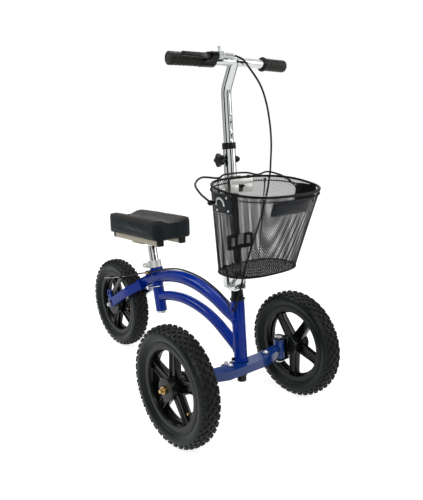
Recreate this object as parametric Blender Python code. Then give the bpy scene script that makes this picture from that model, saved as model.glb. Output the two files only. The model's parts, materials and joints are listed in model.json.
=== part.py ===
"""All-terrain knee walker, one object for each separate piece.

Metres, +Z up, ground at Z = 0. The front of the walker faces -Y and the rider's left hand is at +X.
Frames: the steering parts are modelled along the raked steering axis, the knee rest along the leaning
seat axis and the cushion on its own slightly tilted base. Everything else is in world coordinates.
"""

import math

import bmesh
import bpy
from mathutils import Matrix, Vector

# Fits
GAP = 0.0003
SLIDE_FIT = 0.0004

# Wheels
WHEEL_RADIUS = 0.155
FRONT_AXLE_Y = -0.308
REAR_AXLE_Y = 0.334
FRONT_WHEEL_X = 0.214
TYRE_HALF_WIDTH = 0.029
TREAD_HALF_WIDTH = 0.019
TREAD_THICKNESS = 0.007
TYRE_TO_RAIL = 0.014
TYRE_WALL = 0.0045
BEAD_RADIUS = 0.102
BEAD_HEIGHT = 0.0105
BEAD_HALF_WIDTH = 0.016
BEAD_THICKNESS = 0.0055
TYRE_STEPS = 32
RIM_STEPS = 24
RIM_INNER_RADIUS = 0.0955
RIM_HALF_WIDTH = 0.0185
RIM_FLANGE = 0.0018
RIM_FLANGE_HEIGHT = 0.009
RIM_BED_DROP = 0.0015
RIM_WELL_DROP = 0.0035
RIM_WELL_HALF_WIDTH = 0.010
SPOKES = 5
SPOKE_HALF_THICKNESS = 0.010
SPOKE_HALF_WIDTH_IN = 0.0145
SPOKE_HALF_WIDTH_OUT = 0.0115
LEFT_SPOKE_TURN = math.radians(39)  # each wheel as it stands in the photograph
REAR_SPOKE_TURN = math.radians(20)
HUB_RADIUS = 0.030
HUB_HALF_LENGTH = 0.030
REAR_HUB_HALF_LENGTH = 0.032
AXLE_RADIUS = 0.006

# Steering axis
RAKE = math.radians(5.64)
KING_PIN_X = 0.150
KING_PIN_TRAIL = 0.0036
HEAD_TUBE_RADIUS = 0.018
HEAD_TUBE_WALL = 0.0025
HEAD_TUBE_LOW = -0.017
HEAD_TUBE_HIGH = 0.1765
CUP_FLANGE_RADIUS = 0.0205
LOWER_CUP_FLANGE_RADIUS = 0.019
CUP_FLANGE = 0.0037
LOWER_CUP_FLANGE = 0.0109
CUP_NECK = 0.011
SHAFT_RADIUS = 0.011
SHAFT_END_RADIUS = 0.008
SHAFT_HIGH = 0.2030
SHAFT_NUT_RADIUS = 0.0125
SHAFT_NUT_LENGTH = 0.016
BOOT_RADIUS = 0.017
BOOT_GROOVE = 0.0012
BOOT_RIBS = 3

# Steering linkage
LINK_PLATE = 0.005
LINK_PIN_RADIUS = 0.004
LINK_PIN_X = 0.015
LINK_PIN_Y = 0.057
LINK_NUT_RADIUS = 0.0062
LINK_NUT_LENGTH = 0.0029
PITMAN_HUB_RADIUS = 0.0155
PITMAN_NECK_RADIUS = 0.012
PITMAN_TIP_RADIUS = 0.0095
TIE_ROD_RADIUS = 0.0045
TIE_ROD_EYE_RADIUS = 0.009
TIE_ROD_EYE_LENGTH = 0.009
TIE_ROD_NUT_RADIUS = 0.0068
TIE_ROD_NUT_LENGTH = 0.008
TIE_ROD_NUT_SETBACK = 0.012

# Front beam, king pins and knuckles
BEAM_REACH = 0.070
BEAM_FRONT_Y = -0.348
BEAM_REAR_Y = -0.308
BEAM_TIP_FRONT_Y = -0.322
BEAM_TIP_REAR_Y = -0.296
BEAM_LOW_DROP = 0.015
BEAM_LOW = WHEEL_RADIUS - BEAM_LOW_DROP
BEAM_HIGH_RISE = 0.009
BEAM_HIGH = WHEEL_RADIUS + BEAM_HIGH_RISE
BEAM_WALL = 0.0025
BARREL_RADIUS = 0.015
BARREL_HALF_LENGTH = 0.028
KING_PIN_RADIUS = 0.008
KING_PIN_CAP_RADIUS = 0.0125
KING_PIN_CAP_LENGTH = 0.006
KING_PIN_NUT_RADIUS = 0.011
KING_PIN_NUT_LENGTH = 0.005
KNUCKLE_HALF_DEPTH = 0.014
KNUCKLE_WEB_IN = 0.018
KNUCKLE_WEB_OUT = 0.024
KNUCKLE_EYE_RADIUS = 0.009
STUB_SHOULDER_RADIUS = 0.009
STUB_LENGTH = 0.0093
AXLE_NUT_RADIUS = 0.0098
AXLE_NUT_LENGTH = 0.008

# Frame tubes, as (y, z) points of their centre lines, with z over the axles
UPPER_RAIL_RADIUS = 0.019
UPPER_RAIL_BORE = 0.017
UPPER_RAIL_END_CAP = 0.008
UPPER_RAIL_LINE = (
    (-0.2925, 0.1240), (-0.2541, 0.1371), (-0.2116, 0.1546), (-0.1720, 0.1663), (-0.1307, 0.1748),
    (-0.0927, 0.1787), (-0.0531, 0.1791), (-0.0150, 0.1750), (0.0202, 0.1688), (0.0648, 0.1575),
    (0.1237, 0.1347), (0.1600, 0.1162), (0.1950, 0.0980),
)
LOWER_RAIL_RADIUS = 0.015
LOWER_RAIL_BORE = 0.013
LOWER_RAIL_LINE = (
    (-0.3005, 0.0380), (-0.2541, 0.0634), (-0.2111, 0.0858), (-0.1700, 0.1005), (-0.1293, 0.1091),
    (-0.0909, 0.1135), (-0.0509, 0.1141), (-0.0150, 0.1106), (0.0231, 0.1042), (0.0745, 0.0893),
)

# Rear arms
ARM_HEIGHT = 0.030
ARM_WIDTH = 0.019
ARM_CHAMFER = 0.003
ARM_WALL = 0.002
ARM_INNER_FACE = 0.0345
ARM_LINE = ((0.022, 0.150, 0.1130), (0.044, 0.205, 0.0790), (0.044, 0.300, 0.0208))
ARM_REAR_WALL = 0.004
DROPOUT_THICKNESS = 0.005
DROPOUT_RADIUS = 0.013
DROPOUT_ROOT = (0.296, 0.0232)
DROPOUT_ROOT_RADIUS = 0.0135
EYELET_Y = 0.346
EYELET_Z = 0.038
EYELET_RADIUS = 0.0125
EYELET_HOLE_RADIUS = 0.0075
AXLE_COLLAR_RADIUS = 0.009
REAR_NUT_RADIUS = 0.0085
REAR_NUT_LENGTH = 0.007
REAR_AXLE_END = 0.052

# Rear brake
DRUM_RADIUS = 0.036
DRUM_LENGTH = 0.012
BACKPLATE_RADIUS = 0.038
BACKPLATE_THICKNESS = 0.0025
BRAKE_ARM_THICKNESS = 0.003
BRAKE_ARM_PIVOT_SHIFT = 0.006
BRAKE_ARM_PIVOT_RISE = 0.041
BRAKE_ARM_ANCHOR_SHIFT = 0.072
BRAKE_ARM_ANCHOR_RISE = 0.116
BRAKE_ARM_PIVOT = (REAR_AXLE_Y - BRAKE_ARM_PIVOT_SHIFT, WHEEL_RADIUS + BRAKE_ARM_PIVOT_RISE)
BRAKE_ARM_ANCHOR = (REAR_AXLE_Y - BRAKE_ARM_ANCHOR_SHIFT, WHEEL_RADIUS + BRAKE_ARM_ANCHOR_RISE)
BRAKE_ARM_PIVOT_RADIUS = 0.009
BRAKE_ARM_TIP_RADIUS = 0.0085
BRAKE_PIVOT_PIN_RADIUS = 0.003
ANCHOR_BOLT_RADIUS = 0.006
ANCHOR_BOLT_END = -0.042

# Knee rest, along the seat axis
SEAT_AXIS_Y = 0.067
SEAT_AXIS_RISE = 0.035
SEAT_AXIS_FOOT = (0, SEAT_AXIS_Y, WHEEL_RADIUS + SEAT_AXIS_RISE)
SEAT_LEAN = math.radians(13.5)
SEAT_TUBE_RADIUS = 0.0175
SEAT_TUBE_WALL = 0.0028
SEAT_TUBE_LOW = 0.0072
SEAT_TUBE_HIGH = 0.1666
SEAT_SLOT_HALF_WIDTH = 0.001
SEAT_SLOT_LENGTH = 0.030
CLAMP_RADIUS = 0.0215
CLAMP_OVERLAP = 0.0186
CLAMP_STAND = 0.0031
CLAMP_LOW = SEAT_TUBE_HIGH - CLAMP_OVERLAP
CLAMP_HIGH = SEAT_TUBE_HIGH + CLAMP_STAND
CLAMP_LIP = 0.0028
CLAMP_EAR_REACH = 0.0365
CLAMP_EAR_HALF_DEPTH = 0.0075
CLAMP_EAR_HALF_HEIGHT = 0.008
CLAMP_BOLT_X = -0.0295
CLAMP_BOLT_RADIUS = 0.0028
CLAMP_NUT_RADIUS = 0.0055
SEAT_LEVER_PIVOT_Y = 0.0165
SEAT_LEVER_HUB_RADIUS = 0.0055
SEAT_LEVER_TIP = (0.020, 0.0405)
SEAT_LEVER_TIP_RADIUS = 0.0038
SEAT_LEVER_HALF_HEIGHT = 0.006
POST_RADIUS = 0.0143
POST_WALL = 0.002
POST_HIGH = 0.216
LOCK_PIN_HEIGHT = 0.0884
LOCK_PIN_RADIUS = 0.003
LOCK_PIN_HEAD_RADIUS = 0.006
LOCK_PIN_HEAD = (-0.040, -0.034)
LOCK_WIRE_RADIUS = 0.0013
LOCK_WIRE_RING = 0.0265
REAR_STOP_X = -0.031
REAR_STOP_DROP = 0.0132
REAR_STOP_HEIGHT = CLAMP_LOW - REAR_STOP_DROP
REAR_STOP_Y = 0.001
REAR_STOP_THICKNESS = 0.003
REAR_STOP_MARGIN = 0.006
REAR_STOP_SINK = 0.0012
REAR_STOP_HALF_HEIGHT = 0.007
FRONT_EAR_X = (SEAT_TUBE_RADIUS - 0.0017, SEAT_TUBE_RADIUS + 0.006)
FRONT_EAR_Y = (-0.007, -0.003)
FRONT_EAR_HEIGHT = (0.1375, 0.1475)
REAR_ADJUSTER_RADIUS = 0.0032
REAR_ADJUSTER_HEAD_RADIUS = 0.0055
REAR_ADJUSTER_HEAD_LENGTH = 0.008
REAR_ADJUSTER_LENGTH = 0.021

# Cushion and its base
PAD_BASE_RISE = 0.282
PAD_BASE_Z = WHEEL_RADIUS + PAD_BASE_RISE
PAD_TILT = math.radians(2.75)
PAD_HALF_WIDTH = 0.0716
PAD_FRONT = -0.1395
PAD_REAR = 0.1520
PAD_EDGE_HEIGHT = 0.065
PAD_TROUGH_DEPTH = 0.012
PAD_SHOULDER = 0.012
PAD_CORNER_RADIUS = 0.022
PAD_FOOT_INSET = 0.002
PAD_RAIL_X = 0.040
PAD_RAIL_WIDTH = 0.019
PAD_RAIL_HEIGHT = 0.018
PAD_RAIL_FRONT = -0.1215
PAD_RAIL_REAR = 0.1440
PAD_CAP_MARGIN = 0.0008
PAD_CAP_LENGTH = 0.010
PAD_PLATE_HALF_LENGTH = 0.032
PAD_PLATE_THICKNESS = 0.004
PAD_PLUG_DEPTH = 0.040

# Folding joint
FOLD_RISE = 0.0181
FOLD_HEIGHT = SHAFT_HIGH + FOLD_RISE
FORK_FLOOR = 0.004
FORK_CHEEK_IN = 0.0165
FORK_CHEEK = 0.003
FORK_HALF_DEPTH = 0.014
FORK_TIP = 0.0149
FOLD_PIN_RADIUS = 0.004
FOLD_PIN_COLLAR_RADIUS = 0.0078
FOLD_PIN_COLLAR_END = 0.0275
TONGUE_HALF_DEPTH = 0.0155
TONGUE_TOP = 0.0291
TONGUE_NOSE_RADIUS = 0.0125
TONGUE_SHOULDER = 0.018
FOLD_LEVER_X = -0.034
FOLD_LEVER_HUB_RADIUS = 0.006
FOLD_LEVER_LENGTH = 0.052
FOLD_LEVER_TIP_RADIUS = 0.003
FOLD_LEVER_HALF_WIDTH = 0.0065

# Column, measured from the fold pin
COLUMN_RADIUS = 0.0159
COLUMN_WALL = 0.0028
COLUMN_LOW = 0.0294
COLUMN_HIGH = 0.3609
TONGUE_PLUG_LENGTH = 0.0118
COLLAR_RADIUS = 0.0175
COLLAR_LENGTH = 0.016
COLLAR_LIP = 0.0027
KNOB_DROP = 0.0394
KNOB_HEIGHT = COLUMN_HIGH - KNOB_DROP
KNOB_RADIUS = 0.018
KNOB_LOBES = 5
KNOB_LOBE_DEPTH = 0.0017
KNOB_IN = -0.028
KNOB_OUT = -0.042
KNOB_NECK_RADIUS = 0.008
KNOB_NECK_IN = -0.0185
KNOB_SHANK_RADIUS = 0.003
STAR_NUT_RADIUS = 0.0085
STAR_NUT_IN = 0.0165
STAR_NUT_SHOULDER = 0.024
STAR_NUT_OUT = 0.030

# Handlebar
STEM_RADIUS = 0.0127
STEM_BORE = 0.0107
STEM_INSERTION = 0.132
STEM_SHOWN = 0.118
STEM_LOW = COLUMN_HIGH - STEM_INSERTION
STEM_BEND = COLUMN_HIGH + STEM_SHOWN
STEM_BEND_RADIUS = 0.050
STEM_BEND_ANGLE = math.radians(29)
STEM_REACH = 0.0592
STEM_HOLE_START = 0.020
STEM_HOLE_PITCH = 0.032
STEM_HOLE_RADIUS = 0.0032
STEM_HOLES = 2
BAR_RADIUS = 0.011
BAR_BORE = 0.009
BEND_RISE = STEM_BEND_RADIUS * math.sin(STEM_BEND_ANGLE)
BEND_SHIFT = STEM_BEND_RADIUS * (1 - math.cos(STEM_BEND_ANGLE))
BAR_Y = -BEND_SHIFT - STEM_REACH * math.sin(STEM_BEND_ANGLE)
BAR_HEIGHT = STEM_BEND + BEND_RISE + STEM_REACH * math.cos(STEM_BEND_ANGLE)
BAR_HALF_LENGTH = 0.182
BAR_SWEEP = math.radians(4.4)  # each half of the bar runs back by this from its middle
GRIP_RADIUS = 0.0155
GRIP_END_WALL = 0.0025
GRIP_END = BAR_HALF_LENGTH + GRIP_END_WALL
GRIP_FLARE = 0.0025
RIGHT_GRIP_INNER = 0.0995
LEFT_GRIP_INNER = 0.1025

# Brake lever on the right half of the bar, from the bar's middle with X along that half
PERCH_BAND = (-0.0990, -0.0625)
PERCH_BAND_RADIUS = 0.0165
PERCH_BODY = (-0.0790, -0.0600)
CABLE_Y = -0.0199
CABLE_HEIGHT = 0.0087
PERCH_NOSE_RADIUS = 0.008
LEVER_PIVOT_X = -0.0885
LEVER_PIVOT_Y = -0.025
LEVER_HEIGHT = 0.003
LEVER_HALF_HEIGHT = 0.0065
LEVER_HUB_RADIUS = 0.0072
LEVER_PIN_RADIUS = 0.0025
LEVER_KNEE = (-0.110, -0.0350)
LEVER_TIP = (-0.172, -0.0435)
LEVER_BLADE_RADIUS = 0.0032
LEVER_TIP_RADIUS = 0.005
PERCH_EAR = 0.003
PERCH_EAR_RADIUS = 0.0075
BLOCK_IN = -0.0597
BLOCK_OUT = -0.0470
BLOCK_HALF_DEPTH = 0.006
BLOCK_HALF_HEIGHT = 0.0085
ADJUSTER_RADIUS = 0.0065
ADJUSTER_END = -0.0170
ADJUSTER_SLOT_HALF_WIDTH = 0.0011
BUTTON_X = -0.0550
BUTTON_RADIUS = 0.003
BUTTON_HEAD_RADIUS = 0.0042
BUTTON_HIGH = 0.020
BUTTON_HEAD_LENGTH = 0.003
BUTTON_LOW = 0.004
BUTTON_HOLE_LOW = -0.002

# Basket
BASKET_POWER = 2.6
BASKET_STEPS = 32
BASKET_WALL = 0.003
BASKET_RIM_HALF_WIDTH = 0.1435
BASKET_RIM_BACK = -0.299
BASKET_RIM_FRONT = -0.489
BASKET_RIM_BACK_RISE = 0.500
BASKET_RIM_BACK_Z = WHEEL_RADIUS + BASKET_RIM_BACK_RISE
BASKET_RIM_FRONT_RISE = 0.473
BASKET_RIM_FRONT_Z = WHEEL_RADIUS + BASKET_RIM_FRONT_RISE
BASKET_FLOOR_HALF_WIDTH = 0.109
BASKET_FLOOR_BACK = -0.304
BASKET_FLOOR_FRONT = -0.434
BASKET_FLOOR_RISE = 0.279
BASKET_FLOOR_Z = WHEEL_RADIUS + BASKET_FLOOR_RISE
BRACKET_HALF_WIDTH = 0.040
BRACKET_THICKNESS = 0.003
BRACKET_RISE = (0.462, 0.495)
BRACKET_CLAMP_RISE = (0.470, 0.488)
BRACKET_CLAMP_RADIUS = 0.0195
LOWER_BRACKET_HALF_WIDTH = 0.041
LOWER_BRACKET_RISE = (0.317, 0.355)
LOWER_BRACKET_CLAMP_RISE = (0.326, 0.346)
PLATE_Y = (-0.425, -0.360)
PLATE_LOW_RISE = 0.435
PLATE_HIGH_RISE = 0.481
PLATE_Z = (WHEEL_RADIUS + PLATE_LOW_RISE, WHEEL_RADIUS + PLATE_HIGH_RISE)
PLATE_THICKNESS = 0.0022
PLATE_CLEARANCE = 0.0009
BAIL_Y = -0.365
BAIL_RISE = 0.457
BAIL_Z = WHEEL_RADIUS + BAIL_RISE
BAIL_EYE_X = 0.149
BAIL_WIRE_RADIUS = 0.0025
BAIL_EYE_RADIUS = 0.0065
BAIL_STUD_RADIUS = 0.0028
BAIL_STUD_HEAD_RADIUS = 0.0045
BAIL_TILT = math.radians(31)
BAIL_LINE = ((0.149, 0.006), (0.154, 0.036), (0.146, 0.070), (0.110, 0.093), (0.066, 0.085), (0.034, 0.097))

# Brake cable, as (x, y, z) points of its centre line with z over the axles
CABLE_RADIUS = 0.0025
WIRE_RADIUS = 0.0008
WIRE_BORE = 0.0013
GUIDE_X = -0.0225
GUIDE_RISE = 0.1545
GUIDE_Z = WHEEL_RADIUS + GUIDE_RISE
GUIDE_Y = (-0.3035, -0.2915)
GUIDE_RADIUS = 0.005
FRONT_CABLE_LINE = (
    (0.0115, -0.2905, 0.7800), (0.0286, -0.2920, 0.7647), (0.0620, -0.2980, 0.7251), (0.0830, -0.3000, 0.6826),
    (0.1005, -0.2970, 0.6324), (0.1169, -0.2880, 0.5803), (0.1286, -0.2760, 0.5261), (0.1310, -0.2720, 0.4983),
    (0.1224, -0.2720, 0.4511), (0.1027, -0.2760, 0.3982), (0.0681, -0.2840, 0.3343), (0.0320, -0.2950, 0.2747),
    (0.0042, -0.3120, 0.2458), (-0.0060, -0.3155, 0.2221), (-0.0189, -0.3175, 0.1893), (-0.0240, -0.3140, 0.1680),
)
REAR_CABLE_LINE = (
    (-0.0170, -0.2800, 0.1565), (-0.0060, -0.2650, 0.1600), (-0.0010, -0.2450, 0.1655), (0.0010, -0.2100, 0.1795),
    (0.0020, -0.1500, 0.1955), (0.0010, -0.0900, 0.2025), (-0.0040, -0.0300, 0.2020), (-0.0130, 0.0200, 0.1925),
    (-0.0230, 0.0550, 0.1810),
)
WIRE_TAIL = (-0.0370, 0.3800, 0.0850)

# Finishes: colour, metallic, roughness
BLUE_PAINT = ((0.004, 0.021, 0.258), 0.1, 0.25)
CHROME = ((0.80, 0.81, 0.82), 1.0, 0.12)
ZINC = ((0.55, 0.52, 0.42), 1.0, 0.35)
STEEL = ((0.50, 0.50, 0.50), 1.0, 0.35)
BRASS = ((0.52, 0.42, 0.20), 1.0, 0.35)
BLACK_PAINT = ((0.012, 0.012, 0.013), 0.2, 0.30)
BLACK_PLASTIC = ((0.015, 0.016, 0.015), 0.0, 0.45)
BLACK_MESH = ((0.010, 0.010, 0.010), 0.3, 0.50)
TYRE_RUBBER = ((0.045, 0.048, 0.046), 0.0, 0.85)
GRIP_RUBBER = ((0.035, 0.037, 0.030), 0.0, 0.70)
VINYL = ((0.018, 0.020, 0.019), 0.0, 0.42)

SHARP_ANGLE = math.radians(35)

for old in list(bpy.data.objects):
    bpy.data.objects.remove(old)


def raised(foot, lean):
    """The matrix of a frame whose Z axis leans back by this angle from its foot."""
    return Matrix.Translation(foot) @ Matrix.Rotation(-lean, 4, "X")


trail = Vector((0, math.cos(RAKE), -math.sin(RAKE))) * KING_PIN_TRAIL
RAKED = raised(Vector((0, FRONT_AXLE_Y, WHEEL_RADIUS)) - trail, RAKE)
LEANING = raised(SEAT_AXIS_FOOT, SEAT_LEAN)
PAD_RISE = (PAD_BASE_Z - SEAT_AXIS_FOOT[2]) / math.cos(SEAT_LEAN)
PAD_BASE = raised(LEANING @ Vector((0, 0, PAD_RISE)), PAD_TILT)


def add_frame(name, matrix):
    empty = bpy.data.objects.new(name, None)
    bpy.context.collection.objects.link(empty)
    empty.empty_display_size = 0.05
    empty.matrix_basis = matrix
    return empty


STEERING_AXIS = add_frame("steering_axis", RAKED)
SEAT_AXIS = add_frame("seat_axis", LEANING)
CUSHION_BASE = add_frame("cushion_base", PAD_BASE)


def mesh_of(name, shape):
    mesh = bpy.data.meshes.new(name)
    shape.to_mesh(mesh)
    shape.free()
    return mesh


def add_piece(name, shape, finish, frame=None, pivot=(0, 0, 0)):
    """One node: its mesh is given in its frame's coordinates and its origin goes to the pivot."""
    colour, metallic, roughness = finish
    material = bpy.data.materials.new(name)
    material.use_nodes = True
    shader = material.node_tree.nodes["Principled BSDF"]
    shader.inputs["Base Color"].default_value = (*colour, 1)
    shader.inputs["Metallic"].default_value = metallic
    shader.inputs["Roughness"].default_value = roughness
    shape.transform(Matrix.Translation(pivot).inverted())
    mesh = mesh_of(name, shape)
    mesh.shade_smooth()
    mesh.set_sharp_from_angle(angle=SHARP_ANGLE)
    mesh.materials.append(material)
    piece = bpy.data.objects.new(name, mesh)
    bpy.context.collection.objects.link(piece)
    piece.parent = frame
    piece.location = pivot
    return piece


def combine(piece, operation, shape):
    shape.transform(Matrix.Translation(piece.location).inverted())
    name = f"{piece.name}_{operation.lower()}"
    helper = bpy.data.objects.new(name, mesh_of(name, shape))
    bpy.context.collection.objects.link(helper)
    helper.parent = piece
    helper.hide_render = True
    helper.display_type = "WIRE"
    modifier = piece.modifiers.new(name, "BOOLEAN")
    modifier.operation = operation
    modifier.solver = "EXACT"
    modifier.object = helper


def weld(piece, *shapes):
    for shape in shapes:
        combine(piece, "UNION", shape)


def cut(piece, *shapes):
    for shape in shapes:
        combine(piece, "DIFFERENCE", shape)


def keep(piece, shape):
    combine(piece, "INTERSECT", shape)


def moved(shape, matrix):
    shape.transform(matrix)
    return shape


def turned(profile, steps=18, start=0.0):
    """A closed (radius, height) outline spun round Z."""
    shape = bmesh.new()
    ring = [shape.verts.new((radius, 0, height)) for radius, height in profile]
    pairs = zip(ring, ring[1:] + ring[:1])
    edges = [shape.edges.new(pair) for pair in pairs if pair[0].co.x + pair[1].co.x > 0]
    bmesh.ops.rotate(shape, verts=ring, matrix=Matrix.Rotation(start, 3, "Z"))
    bmesh.ops.spin(shape, geom=ring + edges, axis=(0, 0, 1), angle=math.tau, steps=steps, use_merge=True)
    bmesh.ops.remove_doubles(shape, verts=shape.verts, dist=1e-6)
    bmesh.ops.recalc_face_normals(shape, faces=shape.faces)
    return shape


def turned_x(profile, steps=18, start=0.0, centre=(0, 0, 0)):
    """A closed (radius, x) outline spun round a line along X, with its first corner at the bottom."""
    return moved(turned(profile, steps, start), Matrix.Translation(centre) @ Matrix.Rotation(math.pi / 2, 4, "Y"))


def disc(radius, low, high):
    return [(0, low), (radius, low), (radius, high), (0, high)]


def sleeve(inner, outer, low, high):
    return [(inner, low), (outer, low), (outer, high), (inner, high)]


def rod(start, end, radius, steps=10):
    start = Vector(start)
    line = Vector(end) - start
    place = Matrix.Translation(start + line / 2) @ line.to_track_quat("Z", "Y").to_matrix().to_4x4()
    shape = bmesh.new()
    bmesh.ops.create_cone(
        shape, cap_ends=True, segments=steps, radius1=radius, radius2=radius, depth=line.length, matrix=place
    )
    return shape


def block(low, high):
    low = Vector(low)
    high = Vector(high)
    place = Matrix.Translation((low + high) / 2) @ Matrix.Diagonal((*(high - low), 1))
    shape = bmesh.new()
    bmesh.ops.create_cube(shape, size=1, matrix=place)
    return shape


def loft(rings):
    """A closed body through rings with equal numbers of points, capped at both ends."""
    shape = bmesh.new()
    rows = [[shape.verts.new(point) for point in ring] for ring in rings]
    for low, high in zip(rows, rows[1:]):
        for i in range(len(low)):
            j = (i + 1) % len(low)
            shape.faces.new((low[i], low[j], high[j], high[i]))
    shape.faces.new(rows[0])
    shape.faces.new(rows[-1])
    bmesh.ops.recalc_face_normals(shape, faces=shape.faces)
    return shape


def plan(outline, low, high):
    """An (x, y) outline given a height."""
    return loft([[(x, y, z) for x, y in outline] for z in (low, high)])


def profile_x(outline, low, high):
    """A (y, z) outline given a width along X."""
    return loft([[(x, y, z) for y, z in outline] for x in (low, high)])


def profile_y(outline, low, high):
    """An (x, z) outline given a depth along Y."""
    return loft([[(x, y, z) for x, z in outline] for y in (low, high)])


def link(start, start_radius, end, end_radius, steps=7):
    """The outline of two discs and the straight sides that join them."""
    line = Vector(end) - Vector(start)
    heading = math.atan2(line.y, line.x)
    spread = math.acos((start_radius - end_radius) / line.length)
    points = []
    for i in range(steps + 1):
        angle = heading - spread + 2 * spread * i / steps
        points.append((end[0] + end_radius * math.cos(angle), end[1] + end_radius * math.sin(angle)))
    for i in range(steps + 1):
        angle = heading + spread + (math.tau - 2 * spread) * i / steps
        points.append((start[0] + start_radius * math.cos(angle), start[1] + start_radius * math.sin(angle)))
    return points


def tube(line, radius, sides=12):
    """A round bar along a line of points, made as a bevelled curve."""
    curve = bpy.data.curves.new("tube", "CURVE")
    curve.dimensions = "3D"
    curve.bevel_depth = radius
    curve.bevel_resolution = sides // 2 - 2
    curve.use_fill_caps = True
    spline = curve.splines.new("POLY")
    spline.points.add(len(line) - 1)
    for slot, point in zip(spline.points, line):
        slot.co = (*point, 1)
    holder = bpy.data.objects.new("tube", curve)
    mesh = bpy.data.meshes.new_from_object(holder)
    shape = bmesh.new()
    shape.from_mesh(mesh)
    bmesh.ops.remove_doubles(shape, verts=shape.verts, dist=1e-6)
    bmesh.ops.recalc_face_normals(shape, faces=shape.faces)
    bpy.data.objects.remove(holder)
    bpy.data.curves.remove(curve)
    bpy.data.meshes.remove(mesh)
    return shape


def smooth(line, cuts=3):
    """The same route with points between, on a curve through all of them."""
    points = [Vector(point) for point in line]
    route = []
    for i in range(len(points) - 1):
        before = points[max(i - 1, 0)]
        start = points[i]
        end = points[i + 1]
        after = points[min(i + 2, len(points) - 1)]
        for cut_index in range(cuts):
            t = cut_index / cuts
            bend = 2 * before - 5 * start + 4 * end - after
            twist = 3 * start - before - 3 * end + after
            route.append(start + ((end - before) * t + bend * t**2 + twist * t**3) / 2)
    route.append(points[-1])
    return route


def over_axles(line):
    return [Vector((x, y, WHEEL_RADIUS + z)) for x, y, z in line]


def in_plane(line):
    return over_axles([(0, y, z) for y, z in line])


# Wheels


def tyre(name, centre):
    profile = [
        (BEAD_RADIUS, BEAD_HALF_WIDTH),
        (BEAD_RADIUS + BEAD_HEIGHT, BEAD_HALF_WIDTH),
        (WHEEL_RADIUS - 0.021, TYRE_HALF_WIDTH),
        (WHEEL_RADIUS - 0.005, TYRE_HALF_WIDTH - 0.0025),
        (WHEEL_RADIUS, TREAD_HALF_WIDTH),
    ]
    cavity = [
        (WHEEL_RADIUS - TREAD_THICKNESS, TREAD_HALF_WIDTH - 0.001),
        (WHEEL_RADIUS - 0.021, TYRE_HALF_WIDTH - TYRE_WALL),
        (BEAD_RADIUS, BEAD_HALF_WIDTH - BEAD_THICKNESS),
    ]
    half = profile + [(radius, -x) for radius, x in reversed(profile)]
    hollow = [(radius, -x) for radius, x in reversed(cavity)] + cavity
    spread = 1 / math.cos(math.pi / TYRE_STEPS)
    outline = [(radius * spread, x) for radius, x in half + hollow]
    add_piece(name, turned_x(outline, TYRE_STEPS, math.pi / TYRE_STEPS), TYRE_RUBBER, pivot=(0, 0, 0)).location = centre


def spider_outline(turn_back):
    """The star of spokes as (y, z) points, whose first spoke leans back from upright by this angle."""
    reach = BEAD_RADIUS - RIM_WELL_DROP - 0.001
    valley = SPOKE_HALF_WIDTH_IN / math.sin(math.pi / SPOKES)
    half_angle = math.asin(SPOKE_HALF_WIDTH_OUT / reach)
    points = []
    for i in range(SPOKES):
        angle = math.tau * i / SPOKES + math.pi / 2 - turn_back
        for radius, turn in ((reach, -half_angle), (reach, half_angle), (valley, math.pi / SPOKES)):
            points.append((radius * math.cos(angle + turn), radius * math.sin(angle + turn)))
    return points


def rim(name, centre, hub_low, hub_high, turn_back=0.0):
    flange = BEAD_RADIUS + RIM_FLANGE_HEIGHT
    bed = BEAD_RADIUS - RIM_BED_DROP
    well = BEAD_RADIUS - RIM_WELL_DROP
    seat = RIM_HALF_WIDTH - RIM_FLANGE
    side = [
        (RIM_INNER_RADIUS, RIM_HALF_WIDTH),
        (flange, RIM_HALF_WIDTH),
        (flange, seat),
        (bed, seat),
        (well, RIM_WELL_HALF_WIDTH),
    ]
    outline = side + [(radius, -x) for radius, x in reversed(side)]
    piece = add_piece(name, turned_x(outline, RIM_STEPS), BLACK_PAINT)
    piece.location = centre
    spokes = profile_x(spider_outline(turn_back), -SPOKE_HALF_THICKNESS, SPOKE_HALF_THICKNESS)
    hub = turned_x(disc(HUB_RADIUS, hub_low, hub_high), 16)
    for shape in (spokes, hub):
        weld(piece, moved(shape, Matrix.Translation(centre)))
    bore = turned_x(disc(AXLE_RADIUS + GAP, hub_low - 0.01, hub_high + 0.01), 16)
    cut(piece, moved(bore, Matrix.Translation(centre)))


def wheels():
    for side, word in ((1, "left"), (-1, "right")):
        centre = (side * FRONT_WHEEL_X, FRONT_AXLE_Y, WHEEL_RADIUS)
        tyre(f"{word}_front_tyre", centre)
        rim(f"{word}_front_rim", centre, -HUB_HALF_LENGTH, HUB_HALF_LENGTH, LEFT_SPOKE_TURN if side > 0 else 0.0)
    centre = (0, REAR_AXLE_Y, WHEEL_RADIUS)
    tyre("rear_tyre", centre)
    rim("rear_rim", centre, DRUM_OUT + DRUM_LENGTH + GAP, REAR_HUB_HALF_LENGTH, REAR_SPOKE_TURN)
    drum = turned_x(sleeve(AXLE_RADIUS + GAP, DRUM_RADIUS, DRUM_OUT, DRUM_OUT + DRUM_LENGTH), 24)
    add_piece("brake_drum", drum, STEEL).location = centre


# Rear brake, stacked along X between the hub and the near arm

COLLAR_OUT = ARM_INNER_FACE - GAP
BRAKE_ARM_OUT = -(ARM_INNER_FACE - 2 * GAP)
BRAKE_ARM_IN = BRAKE_ARM_OUT + BRAKE_ARM_THICKNESS
BACKPLATE_OUT = BRAKE_ARM_IN + GAP
BACKPLATE_IN = BACKPLATE_OUT + BACKPLATE_THICKNESS
DRUM_OUT = BACKPLATE_IN + GAP


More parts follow.
